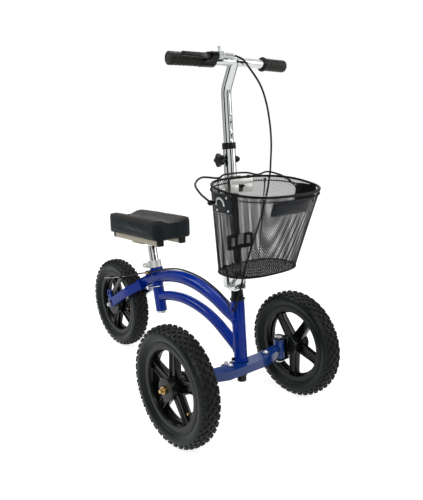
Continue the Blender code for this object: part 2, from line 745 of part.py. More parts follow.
def rear_axle():
    centre = (0, REAR_AXLE_Y, WHEEL_RADIUS)
    piece = add_piece("rear_axle", turned_x(disc(AXLE_RADIUS, -REAR_AXLE_END, REAR_AXLE_END), 12), BRASS)
    piece.location = centre
    collar_in = REAR_HUB_HALF_LENGTH + GAP
    nut_in = ARM_INNER_FACE + DROPOUT_THICKNESS + GAP
    for side in (1, -1):
        collar = rod((side * collar_in, 0, 0), (side * COLLAR_OUT, 0, 0), AXLE_COLLAR_RADIUS, 12)
        nut = rod((side * nut_in, 0, 0), (side * (nut_in + REAR_NUT_LENGTH), 0, 0), REAR_NUT_RADIUS, 6)
        for shape in (collar, nut):
            weld(piece, moved(shape, Matrix.Translation(centre)))


def brake_backplate():
    centre = (0, REAR_AXLE_Y, WHEEL_RADIUS)
    plate = turned_x(sleeve(AXLE_RADIUS + GAP, BACKPLATE_RADIUS, BACKPLATE_OUT, BACKPLATE_IN), 24)
    piece = add_piece("brake_backplate", plate, STEEL)
    piece.location = centre
    root = (REAR_AXLE_Y, WHEEL_RADIUS + 0.024)
    lug = link(root, 0.012, BRAKE_ARM_PIVOT, BRAKE_ARM_PIVOT_RADIUS)
    weld(piece, profile_x(lug, BACKPLATE_OUT, BACKPLATE_IN))
    pin = Vector((0, *BRAKE_ARM_PIVOT))
    reach = Vector((0.01, 0, 0))
    middle = pin + Vector((BACKPLATE_OUT, 0, 0))
    cut(piece, rod(middle - reach, middle + reach, BRAKE_PIVOT_PIN_RADIUS + GAP))


def brake_arm():
    outline = link(BRAKE_ARM_PIVOT, BRAKE_ARM_PIVOT_RADIUS, BRAKE_ARM_ANCHOR, BRAKE_ARM_TIP_RADIUS)
    pivot = (0, *BRAKE_ARM_PIVOT)
    piece = add_piece("brake_arm", profile_x(outline, BRAKE_ARM_OUT, BRAKE_ARM_IN), BLACK_PAINT, pivot=pivot)
    pin_end = BACKPLATE_IN - GAP
    weld(piece, rod((BRAKE_ARM_OUT + 0.001, *BRAKE_ARM_PIVOT), (pin_end, *BRAKE_ARM_PIVOT), BRAKE_PIVOT_PIN_RADIUS))
    bolt_start = (BRAKE_ARM_IN - 0.001, *BRAKE_ARM_ANCHOR)
    weld(piece, rod(bolt_start, (ANCHOR_BOLT_END, *BRAKE_ARM_ANCHOR), ANCHOR_BOLT_RADIUS, 8))
    anchor, heading = wire_at_anchor()
    cut(piece, rod(anchor - heading * 0.010, anchor + heading * 0.010, WIRE_BORE, 8))


def adjuster_point(y):
    """A point on the rear adjuster's line, which runs along the seat frame's Y."""
    return LEANING @ Vector((REAR_STOP_X, y, REAR_STOP_HEIGHT))


def wire_at_anchor():
    anchor = Vector(((ANCHOR_BOLT_END + BRAKE_ARM_OUT) / 2 + 0.0013, *BRAKE_ARM_ANCHOR))
    heading = (anchor - adjuster_point(REAR_ADJUSTER_LENGTH)).normalized()
    return anchor, heading


# Frame


def head_tube():
    bore = HEAD_TUBE_RADIUS - HEAD_TUBE_WALL
    wall = turned(sleeve(bore, HEAD_TUBE_RADIUS, HEAD_TUBE_LOW, HEAD_TUBE_HIGH))
    piece = add_piece("head_tube", wall, BLUE_PAINT, STEERING_AXIS)
    upright = RAKED.inverted()
    ends = [(GUIDE_X, y, GUIDE_Z) for y in GUIDE_Y]
    weld(piece, moved(rod(*ends, GUIDE_RADIUS), upright))
    reach = Vector((0, 0.004, 0))
    cut(piece, moved(rod(Vector(ends[0]) - reach, Vector(ends[1]) + reach, CABLE_RADIUS + SLIDE_FIT), upright))


def headset():
    shaft_hole = SHAFT_RADIUS + SLIDE_FIT
    neck = HEAD_TUBE_RADIUS - HEAD_TUBE_WALL - GAP
    low = HEAD_TUBE_HIGH + GAP
    upper = [
        (shaft_hole, low - CUP_NECK),
        (neck, low - CUP_NECK),
        (neck, low),
        (CUP_FLANGE_RADIUS, low),
        (CUP_FLANGE_RADIUS, low + CUP_FLANGE),
        (shaft_hole, low + CUP_FLANGE),
    ]
    add_piece("upper_headset_cup", turned(upper), BLACK_PAINT, STEERING_AXIS)
    high = HEAD_TUBE_LOW - GAP
    lower = [
        (shaft_hole, high - LOWER_CUP_FLANGE),
        (LOWER_CUP_FLANGE_RADIUS, high - LOWER_CUP_FLANGE),
        (LOWER_CUP_FLANGE_RADIUS, high),
        (neck, high),
        (neck, high + CUP_NECK),
        (shaft_hole, high + CUP_NECK),
    ]
    add_piece("lower_headset_cup", turned(lower), BLACK_PAINT, STEERING_AXIS)
    foot = low + CUP_FLANGE + GAP
    length = SHAFT_HIGH - foot
    boot = [(shaft_hole, SHAFT_HIGH), (shaft_hole, foot), (BOOT_RADIUS, foot)]
    for i in range(1, 2 * BOOT_RIBS):
        boot.append((BOOT_RADIUS - BOOT_GROOVE * (i % 2), foot + length * i / (2 * BOOT_RIBS)))
    boot.append((BOOT_RADIUS, SHAFT_HIGH))
    add_piece("headset_boot", turned(boot, 16), BLACK_PLASTIC, STEERING_AXIS)


PITMAN_HIGH = HEAD_TUBE_LOW - GAP - LOWER_CUP_FLANGE - GAP
PITMAN_LOW = PITMAN_HIGH - LINK_PLATE


def steering_shaft():
    nut_high = PITMAN_LOW - GAP
    profile = [
        (0, nut_high - SHAFT_NUT_LENGTH),
        (SHAFT_NUT_RADIUS, nut_high - SHAFT_NUT_LENGTH),
        (SHAFT_NUT_RADIUS, nut_high),
        (SHAFT_END_RADIUS, nut_high),
        (SHAFT_END_RADIUS, PITMAN_HIGH + GAP),
        (SHAFT_RADIUS, PITMAN_HIGH + GAP),
        (SHAFT_RADIUS, SHAFT_HIGH),
        (0, SHAFT_HIGH),
    ]
    add_piece("steering_shaft", turned(profile, 20), STEEL, STEERING_AXIS)


def link_pin(x, y):
    """A pin up from a plate of the linkage, with the nut that holds a tie rod's eye."""
    shoulder = PITMAN_HIGH + TIE_ROD_EYE_LENGTH + 2 * GAP
    profile = [
        (0, PITMAN_LOW + 0.001),
        (LINK_PIN_RADIUS, PITMAN_LOW + 0.001),
        (LINK_PIN_RADIUS, shoulder),
        (LINK_NUT_RADIUS, shoulder),
        (LINK_NUT_RADIUS, shoulder + LINK_NUT_LENGTH),
        (0, shoulder + LINK_NUT_LENGTH),
    ]
    return moved(turned(profile, 12), Matrix.Translation((x, y, 0)))


def pitman_arm():
    neck = link((0, 0), PITMAN_HUB_RADIUS, (0, LINK_PIN_Y - 0.007), PITMAN_NECK_RADIUS)
    piece = add_piece("pitman_arm", plan(neck, PITMAN_LOW, PITMAN_HIGH), STEEL, STEERING_AXIS)
    bar = link((-LINK_PIN_X, LINK_PIN_Y), PITMAN_TIP_RADIUS, (LINK_PIN_X, LINK_PIN_Y), PITMAN_TIP_RADIUS)
    weld(piece, plan(bar, PITMAN_LOW, PITMAN_HIGH))
    for side in (1, -1):
        weld(piece, link_pin(side * LINK_PIN_X, LINK_PIN_Y))
    cut(piece, rod((0, 0, PITMAN_LOW - 0.01), (0, 0, PITMAN_HIGH + 0.003), SHAFT_END_RADIUS + GAP, 20))


def tie_rod(side, word):
    low = PITMAN_HIGH + GAP
    high = low + TIE_ROD_EYE_LENGTH
    middle = (low + high) / 2
    inner = Vector((side * LINK_PIN_X, LINK_PIN_Y, middle))
    outer = Vector((side * (KING_PIN_X + LINK_PIN_X), LINK_PIN_Y + KING_PIN_TRAIL, middle))
    run = (outer - inner).normalized()
    shaft = rod(inner + run * 0.006, outer - run * 0.006, TIE_ROD_RADIUS)
    piece = add_piece(f"{word}_tie_rod", shaft, ZINC, STEERING_AXIS, pivot=inner)
    lift = Vector((0, 0, TIE_ROD_EYE_LENGTH / 2))
    for end in (inner, outer):
        weld(piece, rod(end - lift, end + lift, TIE_ROD_EYE_RADIUS, 12))
    nut = outer - run * (TIE_ROD_EYE_RADIUS + TIE_ROD_NUT_SETBACK)
    weld(piece, rod(nut - run * TIE_ROD_NUT_LENGTH, nut, TIE_ROD_NUT_RADIUS, 6))
    for end in (inner, outer):
        cut(piece, rod(end - lift * 2, end + lift * 2, LINK_PIN_RADIUS + GAP))


def front_beam():
    def beam(inset, low, high):
        reach = BEAM_REACH
        tip = KING_PIN_X - BARREL_RADIUS + 0.006 - 3 * inset
        right_side = [
            (-tip, BEAM_TIP_REAR_Y - inset),
            (-tip, BEAM_TIP_FRONT_Y + inset),
            (-reach, BEAM_FRONT_Y + inset),
        ]
        left_side = [(-x, y) for x, y in reversed(right_side)]
        back = [(reach, BEAM_REAR_Y - inset), (-reach, BEAM_REAR_Y - inset)]
        return plan(right_side + left_side + back, low, high)

    piece = add_piece("front_beam", beam(0, BEAM_LOW, BEAM_HIGH), BLUE_PAINT)
    for side in (1, -1):
        foot = Vector((side * KING_PIN_X, KING_PIN_TRAIL, -BARREL_HALF_LENGTH))
        top = Vector((side * KING_PIN_X, KING_PIN_TRAIL, BARREL_HALF_LENGTH))
        weld(piece, moved(rod(foot, top, BARREL_RADIUS, 16), RAKED))
    cut(piece, beam(BEAM_WALL, BEAM_LOW + BEAM_WALL, BEAM_HIGH - BEAM_WALL))
    for side in (1, -1):
        foot = Vector((side * KING_PIN_X, KING_PIN_TRAIL, -2 * BARREL_HALF_LENGTH))
        top = Vector((side * KING_PIN_X, KING_PIN_TRAIL, 2 * BARREL_HALF_LENGTH))
        cut(piece, moved(rod(foot, top, KING_PIN_RADIUS + GAP, 16), RAKED))
    cut(piece, moved(turned(disc(HEAD_TUBE_RADIUS + GAP, 4 * HEAD_TUBE_LOW, -4 * HEAD_TUBE_LOW)), RAKED))
    cut(piece, moved(turned(disc(LOWER_CUP_FLANGE_RADIUS + GAP, 4 * HEAD_TUBE_LOW, HEAD_TUBE_LOW + GAP)), RAKED))


def head_tube_cut():
    return moved(turned(disc(HEAD_TUBE_RADIUS + GAP, 3 * HEAD_TUBE_LOW, 1.5 * HEAD_TUBE_HIGH)), RAKED)


def seat_tube_cut():
    return moved(turned(disc(SEAT_TUBE_RADIUS + GAP, -SEAT_TUBE_LOW, 1.5 * SEAT_TUBE_HIGH)), LEANING)


def upper_rail():
    line = in_plane(UPPER_RAIL_LINE)
    piece = add_piece("upper_rail", tube(line, UPPER_RAIL_RADIUS, 14), BLUE_PAINT)
    front = Vector(line[0])
    front += (front - Vector(line[1])).normalized() * 0.01
    rear = Vector(line[-1])
    rear += (Vector(line[-2]) - rear).normalized() * UPPER_RAIL_END_CAP
    cut(piece, head_tube_cut(), seat_tube_cut(), tube([front, *line[1:-1], rear], UPPER_RAIL_BORE, 8))
    tyre_room = disc(WHEEL_RADIUS + TYRE_TO_RAIL, -2 * UPPER_RAIL_RADIUS, 2 * UPPER_RAIL_RADIUS)
    cut(piece, turned_x(tyre_room, 60, centre=(0, REAR_AXLE_Y, WHEEL_RADIUS)))


def lower_rail():
    line = in_plane(LOWER_RAIL_LINE)
    piece = add_piece("lower_rail", tube(line, LOWER_RAIL_RADIUS, 14), BLUE_PAINT)
    front = Vector(line[0])
    front += (front - Vector(line[1])).normalized() * 0.01
    rear = Vector(line[-1])
    rear += (rear - Vector(line[-2])).normalized() * 0.01
    cut(piece, head_tube_cut(), seat_tube_cut(), tube([front, *line[1:-1], rear], LOWER_RAIL_BORE, 8))


def arm_body(side, inset):
    """The rectangular tube of a rear arm. The inset one is its inside, open at the front."""
    width = ARM_WIDTH / 2 - inset
    height = ARM_HEIGHT / 2 - inset
    chamfer = max(ARM_CHAMFER - inset, 0.001)
    section = []
    for across, up in ((1, 1), (-1, 1), (-1, -1), (1, -1)):
        corner = [(across * (width - chamfer), up * height), (across * width, up * (height - chamfer))]
        section += corner if across * up < 0 else reversed(corner)
    line = over_axles(ARM_LINE)
    if inset:
        line[0] += (line[0] - line[1]).normalized() * 0.012
        line[-1] += (line[-2] - line[-1]).normalized() * ARM_REAR_WALL
    rings = []
    for i, point in enumerate(line):
        run = line[min(i + 1, len(line) - 1)] - line[max(i - 1, 0)]
        up = Vector((0, -run.z, run.y)).normalized()
        rings.append([(side * (point.x + u), point.y + up.y * v, point.z + up.z * v) for u, v in section])
    return loft(rings)


def rear_arm(side, word):
    inner = side * ARM_INNER_FACE
    outer = side * (ARM_INNER_FACE + DROPOUT_THICKNESS)
    piece = add_piece(f"{word}_rear_arm", arm_body(side, 0), BLUE_PAINT)
    axle = (REAR_AXLE_Y, WHEEL_RADIUS)
    eyelet = (EYELET_Y, WHEEL_RADIUS + EYELET_Z)
    root = (DROPOUT_ROOT[0], WHEEL_RADIUS + DROPOUT_ROOT[1])
    *rail, before, end = in_plane(UPPER_RAIL_LINE[-5:])
    rail += [before, end + (end - before).normalized() * 2 * GAP]
    cut(piece, arm_body(side, ARM_WALL), tube(rail, UPPER_RAIL_RADIUS + 2 * GAP, 14))
    weld(piece, profile_x(link(axle, DROPOUT_RADIUS, root, DROPOUT_ROOT_RADIUS), inner, outer))
    if side < 0:
        weld(piece, profile_x(link(axle, DROPOUT_RADIUS * 0.7, eyelet, EYELET_RADIUS), inner, outer))
        cut(piece, rod((inner * 0.8, *eyelet), (outer * 1.2, *eyelet), EYELET_HOLE_RADIUS))
    cut(piece, rod((inner * 0.8, *axle), (outer * 1.2, *axle), AXLE_RADIUS + GAP, 16))


# Knee rest


def seat_tube():
    bore = POST_RADIUS + SLIDE_FIT
    wall = turned(sleeve(bore, SEAT_TUBE_RADIUS, SEAT_TUBE_LOW, SEAT_TUBE_HIGH))
    piece = add_piece("seat_tube", wall, BLUE_PAINT, SEAT_AXIS)
    stop_low = (REAR_STOP_X - REAR_STOP_MARGIN, REAR_STOP_Y, REAR_STOP_HEIGHT - REAR_STOP_HALF_HEIGHT)
    stop_high = (
        REAR_STOP_SINK - SEAT_TUBE_RADIUS,
        REAR_STOP_Y + REAR_STOP_THICKNESS,
        REAR_STOP_HEIGHT + REAR_STOP_HALF_HEIGHT,
    )
    weld(piece, block(stop_low, stop_high))
    weld(piece, block(*zip(FRONT_EAR_X, FRONT_EAR_Y, FRONT_EAR_HEIGHT)))
    cut(piece, rod((REAR_STOP_X, -0.01, REAR_STOP_HEIGHT), (REAR_STOP_X, 0.02, REAR_STOP_HEIGHT),
                   REAR_ADJUSTER_RADIUS + GAP))
    slot = block((-0.022, -SEAT_SLOT_HALF_WIDTH, SEAT_TUBE_HIGH - SEAT_SLOT_LENGTH + 0.008),
                 (-0.010, SEAT_SLOT_HALF_WIDTH, SEAT_TUBE_HIGH + 0.01))
    cut(piece, slot)
    cut(piece, rod((-0.025, 0, LOCK_PIN_HEIGHT), (0.025, 0, LOCK_PIN_HEIGHT), LOCK_PIN_RADIUS + GAP))


def seat_clamp():
    ring = [
        (SEAT_TUBE_RADIUS + GAP, CLAMP_LOW),
        (CLAMP_RADIUS, CLAMP_LOW),
        (CLAMP_RADIUS, CLAMP_HIGH),
        (POST_RADIUS + SLIDE_FIT, CLAMP_HIGH),
        (POST_RADIUS + SLIDE_FIT, CLAMP_HIGH - CLAMP_LIP),
        (SEAT_TUBE_RADIUS + GAP, CLAMP_HIGH - CLAMP_LIP),
    ]
    piece = add_piece("seat_clamp", turned(ring), CHROME, SEAT_AXIS)
    middle = (CLAMP_LOW + CLAMP_HIGH) / 2
    low = (-CLAMP_EAR_REACH, -CLAMP_EAR_HALF_DEPTH, middle - CLAMP_EAR_HALF_HEIGHT)
    high = (-SEAT_TUBE_RADIUS - 0.0012, CLAMP_EAR_HALF_DEPTH, middle + CLAMP_EAR_HALF_HEIGHT)
    weld(piece, block(low, high))
    slot_low = (-CLAMP_EAR_REACH - 0.01, -SEAT_SLOT_HALF_WIDTH, CLAMP_LOW - 0.01)
    cut(piece, block(slot_low, (-0.010, SEAT_SLOT_HALF_WIDTH, CLAMP_HIGH + 0.01)))
    bolt_end = SEAT_LEVER_PIVOT_Y - SEAT_LEVER_HUB_RADIUS - GAP
    nut_out = -CLAMP_EAR_HALF_DEPTH - 0.005
    weld(piece, rod((CLAMP_BOLT_X, nut_out, middle), (CLAMP_BOLT_X, bolt_end, middle), CLAMP_BOLT_RADIUS))
    nut_in = -CLAMP_EAR_HALF_DEPTH + 0.001
    weld(piece, rod((CLAMP_BOLT_X, nut_out, middle), (CLAMP_BOLT_X, nut_in, middle), CLAMP_NUT_RADIUS, 6))


def seat_lever():
    middle = (CLAMP_LOW + CLAMP_HIGH) / 2
    pivot = (CLAMP_BOLT_X, SEAT_LEVER_PIVOT_Y, middle)
    outline = link(pivot[:2], SEAT_LEVER_HUB_RADIUS, SEAT_LEVER_TIP, SEAT_LEVER_TIP_RADIUS)
    blade = plan(outline, middle - SEAT_LEVER_HALF_HEIGHT, middle + SEAT_LEVER_HALF_HEIGHT)
    add_piece("seat_lever", blade, CHROME, SEAT_AXIS, pivot)


def seat_post():
    post = turned(sleeve(POST_RADIUS - POST_WALL, POST_RADIUS, 0, POST_HIGH))
    add_piece("seat_post", post, CHROME, SEAT_AXIS)


def seat_tube_bolt():
    head_out, head_in = LOCK_PIN_HEAD
    head = rod((head_out, 0, LOCK_PIN_HEIGHT), (head_in, 0, LOCK_PIN_HEIGHT), LOCK_PIN_HEAD_RADIUS)
    piece = add_piece("seat_tube_bolt", head, STEEL, SEAT_AXIS)
    tip = -(POST_RADIUS + SLIDE_FIT)
    weld(piece, rod((head_in - 0.001, 0, LOCK_PIN_HEIGHT), (tip, 0, LOCK_PIN_HEIGHT), LOCK_PIN_RADIUS))
    wire = [(head_in - 0.002, 0, LOCK_PIN_HEIGHT)]
    for i in range(9):
        angle = math.radians(180 + 20 * i)
        across = LOCK_WIRE_RING * (1.15 - 0.15 * abs(math.sin(angle)))
        wire.append((across * math.cos(angle), LOCK_WIRE_RING * math.sin(angle) - 0.002, LOCK_PIN_HEIGHT))
    weld(piece, tube(wire, LOCK_WIRE_RADIUS, 8))


def rear_cable_adjuster():
    line = Matrix.Translation((REAR_STOP_X, 0, REAR_STOP_HEIGHT)) @ Matrix.Rotation(-math.pi / 2, 4, "X")
    head = REAR_STOP_Y - GAP
    front = head - REAR_ADJUSTER_HEAD_LENGTH
    profile = [
        (CABLE_RADIUS + SLIDE_FIT, front),
        (REAR_ADJUSTER_HEAD_RADIUS, front),
        (REAR_ADJUSTER_HEAD_RADIUS, head),
        (REAR_ADJUSTER_RADIUS, head),
        (REAR_ADJUSTER_RADIUS, REAR_ADJUSTER_LENGTH),
        (WIRE_BORE, REAR_ADJUSTER_LENGTH),
        (WIRE_BORE, head - 0.002),
        (CABLE_RADIUS + SLIDE_FIT, head - 0.002),
    ]
    add_piece("rear_cable_adjuster", moved(turned(profile, 12), line), BRASS, SEAT_AXIS)


def pad_frame():
    bottom = -GAP - PAD_RAIL_HEIGHT
    plate_low = (-PAD_RAIL_X - PAD_RAIL_WIDTH / 2, -PAD_PLATE_HALF_LENGTH, bottom - PAD_PLATE_THICKNESS)
    plate_high = (PAD_RAIL_X + PAD_RAIL_WIDTH / 2, PAD_PLATE_HALF_LENGTH, bottom + 0.001)
    piece = add_piece("pad_frame", block(plate_low, plate_high), ZINC, CUSHION_BASE)
    for side in (1, -1):
        low = (side * PAD_RAIL_X - PAD_RAIL_WIDTH / 2, PAD_RAIL_FRONT, bottom)
        high = (side * PAD_RAIL_X + PAD_RAIL_WIDTH / 2, PAD_RAIL_REAR, -GAP)
        weld(piece, block(low, high))
        for start, end in ((PAD_RAIL_FRONT, PAD_RAIL_FRONT + PAD_CAP_LENGTH),
                           (PAD_RAIL_REAR - PAD_CAP_LENGTH, PAD_RAIL_REAR)):
            cap_low = (low[0] - PAD_CAP_MARGIN, start - PAD_CAP_MARGIN, bottom - PAD_CAP_MARGIN)
            cap_high = (high[0] + PAD_CAP_MARGIN, end + PAD_CAP_MARGIN, -GAP - 0.0001)
            weld(piece, block(cap_low, cap_high))
    to_base = PAD_BASE.inverted() @ LEANING
    top = PAD_RISE + (bottom - PAD_PLATE_THICKNESS / 2) / math.cos(SEAT_LEAN)
    stem = turned(disc(POST_RADIUS, POST_HIGH + GAP, top), 20)
    plug = turned(disc(POST_RADIUS - POST_WALL - GAP, POST_HIGH - PAD_PLUG_DEPTH, POST_HIGH + 0.002), 20)
    weld(piece, moved(stem, to_base), moved(plug, to_base))


def knee_pad():
    """A cushion with straight sides, rounded corners and a trough along its top for the shin."""
    across = [-1, -0.97, -0.86, -0.66, -0.4, 0, 0.4, 0.66, 0.86, 0.97, 1]
    rings = []
    stations = 14
    for i in range(stations + 1):
        along = 0.5 - 0.5 * math.cos(math.pi * i / stations)
        y = PAD_FRONT + (PAD_REAR - PAD_FRONT) * along
        margin = min(y - PAD_FRONT, PAD_REAR - y)
        into = max(PAD_CORNER_RADIUS - margin, 0)
        width = PAD_HALF_WIDTH - PAD_CORNER_RADIUS + math.sqrt(PAD_CORNER_RADIUS**2 - into**2)
        fall = max(PAD_SHOULDER - margin, 0)
        drop = PAD_SHOULDER - math.sqrt(PAD_SHOULDER**2 - fall**2)
        top = []
        for share in across:
            edge = max(abs(share) - 0.86, 0) / 0.14
            trough = PAD_TROUGH_DEPTH * (0.5 + 0.5 * math.cos(math.pi * min(abs(share) / 0.86, 1)))
            rounding = PAD_SHOULDER * (1 - math.sqrt(1 - edge**2))
            height = PAD_EDGE_HEIGHT - trough - rounding - drop * (1 - 0.3 * edge)
            top.append((share * width, y, height))
        foot = [(width - PAD_FOOT_INSET, y, GAP), (0, y, GAP), (PAD_FOOT_INSET - width, y, GAP)]
        rings.append(top + foot)
    add_piece("knee_pad", loft(rings), VINYL, CUSHION_BASE)


# Steering, from the knuckles up to the folding joint


def knuckle(side, word):
    high = BARREL_HALF_LENGTH + 0.0005
    tall = high + LINK_PLATE
    back = -KNUCKLE_HALF_DEPTH
    outline = [
        (back, high), (KNUCKLE_WEB_IN, high), (KNUCKLE_WEB_IN, -high), (back, -high),
        (back, -tall), (KNUCKLE_WEB_OUT, -tall), (KNUCKLE_WEB_OUT, tall), (back, tall),
    ]
    centre = Matrix.Translation((side * KING_PIN_X, KING_PIN_TRAIL, 0))
    outline = [(side * x, z) for x, z in outline]
    body = moved(profile_y(outline, -KNUCKLE_HALF_DEPTH, KNUCKLE_HALF_DEPTH), centre)
    pivot = (side * KING_PIN_X, KING_PIN_TRAIL, 0)
    piece = add_piece(f"{word}_knuckle", body, ZINC, STEERING_AXIS, pivot)
    arm = link((side * 0.008, 0.006), 0.0125, (side * LINK_PIN_X, LINK_PIN_Y), KNUCKLE_EYE_RADIUS)
    weld(piece, moved(plan(arm, -tall, -high), centre))
    weld(piece, link_pin(side * (KING_PIN_X + LINK_PIN_X), LINK_PIN_Y + KING_PIN_TRAIL))
    hub_in = FRONT_WHEEL_X - HUB_HALF_LENGTH - KING_PIN_X - GAP
    tip = FRONT_WHEEL_X + HUB_HALF_LENGTH - KING_PIN_X + GAP + AXLE_NUT_LENGTH + STUB_LENGTH
    shoulder = rod((side * (KNUCKLE_WEB_OUT - 0.001), 0, 0), (side * hub_in, 0, 0), STUB_SHOULDER_RADIUS, 12)
    stub = rod((side * (KNUCKLE_WEB_OUT - 0.002), 0, 0), (side * tip, 0, 0), AXLE_RADIUS, 12)
    level = RAKED.inverted() @ Matrix.Translation((side * KING_PIN_X, FRONT_AXLE_Y, WHEEL_RADIUS))
    weld(piece, moved(shoulder, level), moved(stub, level))
    for low, top in ((-tall - 0.01, -high + 0.003), (high - 0.003, tall + 0.01)):
        cut(piece, moved(rod((0, 0, low), (0, 0, top), KING_PIN_RADIUS + GAP, 16), centre))


def king_pin(side, word):
    tall = BARREL_HALF_LENGTH + 0.0005 + LINK_PLATE + GAP
    profile = [
        (0, -tall - KING_PIN_NUT_LENGTH),
        (KING_PIN_NUT_RADIUS, -tall - KING_PIN_NUT_LENGTH),
        (KING_PIN_NUT_RADIUS, -tall),
        (KING_PIN_RADIUS, -tall),
        (KING_PIN_RADIUS, tall),
        (KING_PIN_CAP_RADIUS, tall),
        (KING_PIN_CAP_RADIUS * 0.9, tall + KING_PIN_CAP_LENGTH),
        (0, tall + KING_PIN_CAP_LENGTH),
    ]
    pivot = (side * KING_PIN_X, KING_PIN_TRAIL, 0)
    shape = moved(turned(profile, 16), Matrix.Translation(pivot))
    add_piece(f"{word}_king_pin", shape, ZINC, STEERING_AXIS, pivot)


def axle_nut(side, word):
    inner = FRONT_WHEEL_X + HUB_HALF_LENGTH + GAP
    outline = sleeve(AXLE_RADIUS + GAP, AXLE_NUT_RADIUS, inner, inner + AXLE_NUT_LENGTH)
    shape = turned_x([(radius, side * x) for radius, x in outline], 12)
    add_piece(f"{word}_axle_nut", shape, BRASS).location = (0, FRONT_AXLE_Y, WHEEL_RADIUS)


def fold_fork():
    floor = SHAFT_HIGH + 0.0005
    out = FORK_CHEEK_IN + FORK_CHEEK
    tip = FOLD_HEIGHT + FORK_TIP
    outline = [
        (-out, floor), (out, floor), (out, tip), (FORK_CHEEK_IN, tip),
        (FORK_CHEEK_IN, floor + FORK_FLOOR), (-FORK_CHEEK_IN, floor + FORK_FLOOR), (-FORK_CHEEK_IN, tip), (-out, tip),
    ]
    body = profile_y(outline, -FORK_HALF_DEPTH, FORK_HALF_DEPTH)
    piece = add_piece("fold_fork", body, CHROME, STEERING_AXIS)
    centre = (0, tip - FORK_HALF_DEPTH)
    round_top = link(centre, FORK_HALF_DEPTH + 0.00001, (0, floor - 0.02), FORK_HALF_DEPTH, 12)
    keep(piece, profile_x(round_top, -0.03, 0.03))
    cut(piece, rod((-0.03, 0, FOLD_HEIGHT), (0.03, 0, FOLD_HEIGHT), FOLD_PIN_RADIUS + GAP))


def fold_pin():
    pivot = (0, 0, FOLD_HEIGHT)
    near_end = FOLD_LEVER_X + FOLD_LEVER_HUB_RADIUS + GAP
    collar = FORK_CHEEK_IN + FORK_CHEEK + GAP
    outline = [
        (0, near_end),
        (FOLD_PIN_COLLAR_RADIUS, near_end),
        (FOLD_PIN_COLLAR_RADIUS, -collar),
        (FOLD_PIN_RADIUS, -collar),
        (FOLD_PIN_RADIUS, collar),
        (FOLD_PIN_COLLAR_RADIUS, collar),
        (FOLD_PIN_COLLAR_RADIUS, FOLD_PIN_COLLAR_END),
        (0, FOLD_PIN_COLLAR_END),
    ]
    add_piece("fold_pin", turned_x(outline, 12, centre=pivot), STEEL, STEERING_AXIS, pivot)


def fold_lever():
    pivot = (FOLD_LEVER_X, 0, FOLD_HEIGHT)
    tip = (FOLD_LEVER_X - 0.001, FOLD_HEIGHT + FOLD_LEVER_LENGTH)
    outline = link((FOLD_LEVER_X, FOLD_HEIGHT), FOLD_LEVER_HUB_RADIUS, tip, FOLD_LEVER_TIP_RADIUS)
    blade = profile_y(outline, -FOLD_LEVER_HALF_WIDTH, FOLD_LEVER_HALF_WIDTH)
    add_piece("fold_lever", blade, CHROME, STEERING_AXIS, pivot)


# Column, whose heights are from the fold pin

FOLD_PIVOT = (0, 0, FOLD_HEIGHT)
COLUMN_BORE = COLUMN_RADIUS - COLUMN_WALL


def add_column_piece(name, shape, finish, pivot=(0, 0, 0)):
    place = Vector(pivot) + Vector(FOLD_PIVOT)
    return add_piece(name, moved(shape, Matrix.Translation(FOLD_PIVOT)), finish, STEERING_AXIS, place)


def lifted(shape):
    return moved(shape, Matrix.Translation(FOLD_PIVOT))


def fold_tongue():
    half_width = FORK_CHEEK_IN - 0.0004
    outline = [(TONGUE_HALF_DEPTH, TONGUE_TOP), (-TONGUE_HALF_DEPTH, TONGUE_TOP), (-TONGUE_HALF_DEPTH, TONGUE_SHOULDER)]
    for i in range(9):
        angle = math.radians(180 + 22.5 * i)
        outline.append((TONGUE_NOSE_RADIUS * math.cos(angle), TONGUE_NOSE_RADIUS * math.sin(angle)))
    outline.append((TONGUE_HALF_DEPTH, TONGUE_SHOULDER))
    piece = add_column_piece("fold_tongue", profile_x(outline, -half_width, half_width), CHROME)
    plug_high = COLUMN_LOW + TONGUE_PLUG_LENGTH
    plug = turned(disc(COLUMN_BORE - GAP, TONGUE_TOP - 0.001, plug_high))
    weld(piece, lifted(plug))
    cut(piece, lifted(rod((-0.03, 0, 0), (0.03, 0, 0), FOLD_PIN_RADIUS + GAP)))


def column_tube():
    wall = turned(sleeve(COLUMN_BORE, COLUMN_RADIUS, COLUMN_LOW, COLUMN_HIGH))
    piece = add_column_piece("column_tube", wall, CHROME)
    cut(piece, lifted(rod((-0.03, 0, KNOB_HEIGHT), (0.03, 0, KNOB_HEIGHT), KNOB_SHANK_RADIUS + GAP)))


def column_collar():
    inner = COLUMN_RADIUS + GAP
    top = COLUMN_HIGH + COLLAR_LIP
    lip = STEM_RADIUS + GAP
    outline = [
        (inner, top - COLLAR_LENGTH),
        (COLLAR_RADIUS, top - COLLAR_LENGTH),
        (COLLAR_RADIUS, top),
        (lip, top),
        (lip, COLUMN_HIGH + GAP),
        (inner, COLUMN_HIGH + GAP),
    ]
    add_column_piece("column_collar", turned(outline), BLACK_PLASTIC)


def star_knob():
    points = []
    steps = 6 * KNOB_LOBES
    for i in range(steps):
        angle = math.tau * i / steps
        radius = KNOB_RADIUS - KNOB_LOBE_DEPTH * (1 - math.cos(KNOB_LOBES * angle))
        points.append((radius * math.cos(angle), KNOB_HEIGHT + radius * math.sin(angle)))
    star = profile_x(points, KNOB_OUT, KNOB_IN)
    piece = add_column_piece("star_knob", star, BLACK_PLASTIC, (0, 0, KNOB_HEIGHT))
    tip = -COLUMN_BORE - SLIDE_FIT
    neck = rod((KNOB_IN - 0.001, 0, KNOB_HEIGHT), (KNOB_NECK_IN, 0, KNOB_HEIGHT), KNOB_NECK_RADIUS)
    shank = rod((KNOB_NECK_IN - 0.001, 0, KNOB_HEIGHT), (tip, 0, KNOB_HEIGHT), KNOB_SHANK_RADIUS)
    weld(piece, lifted(neck), lifted(shank))


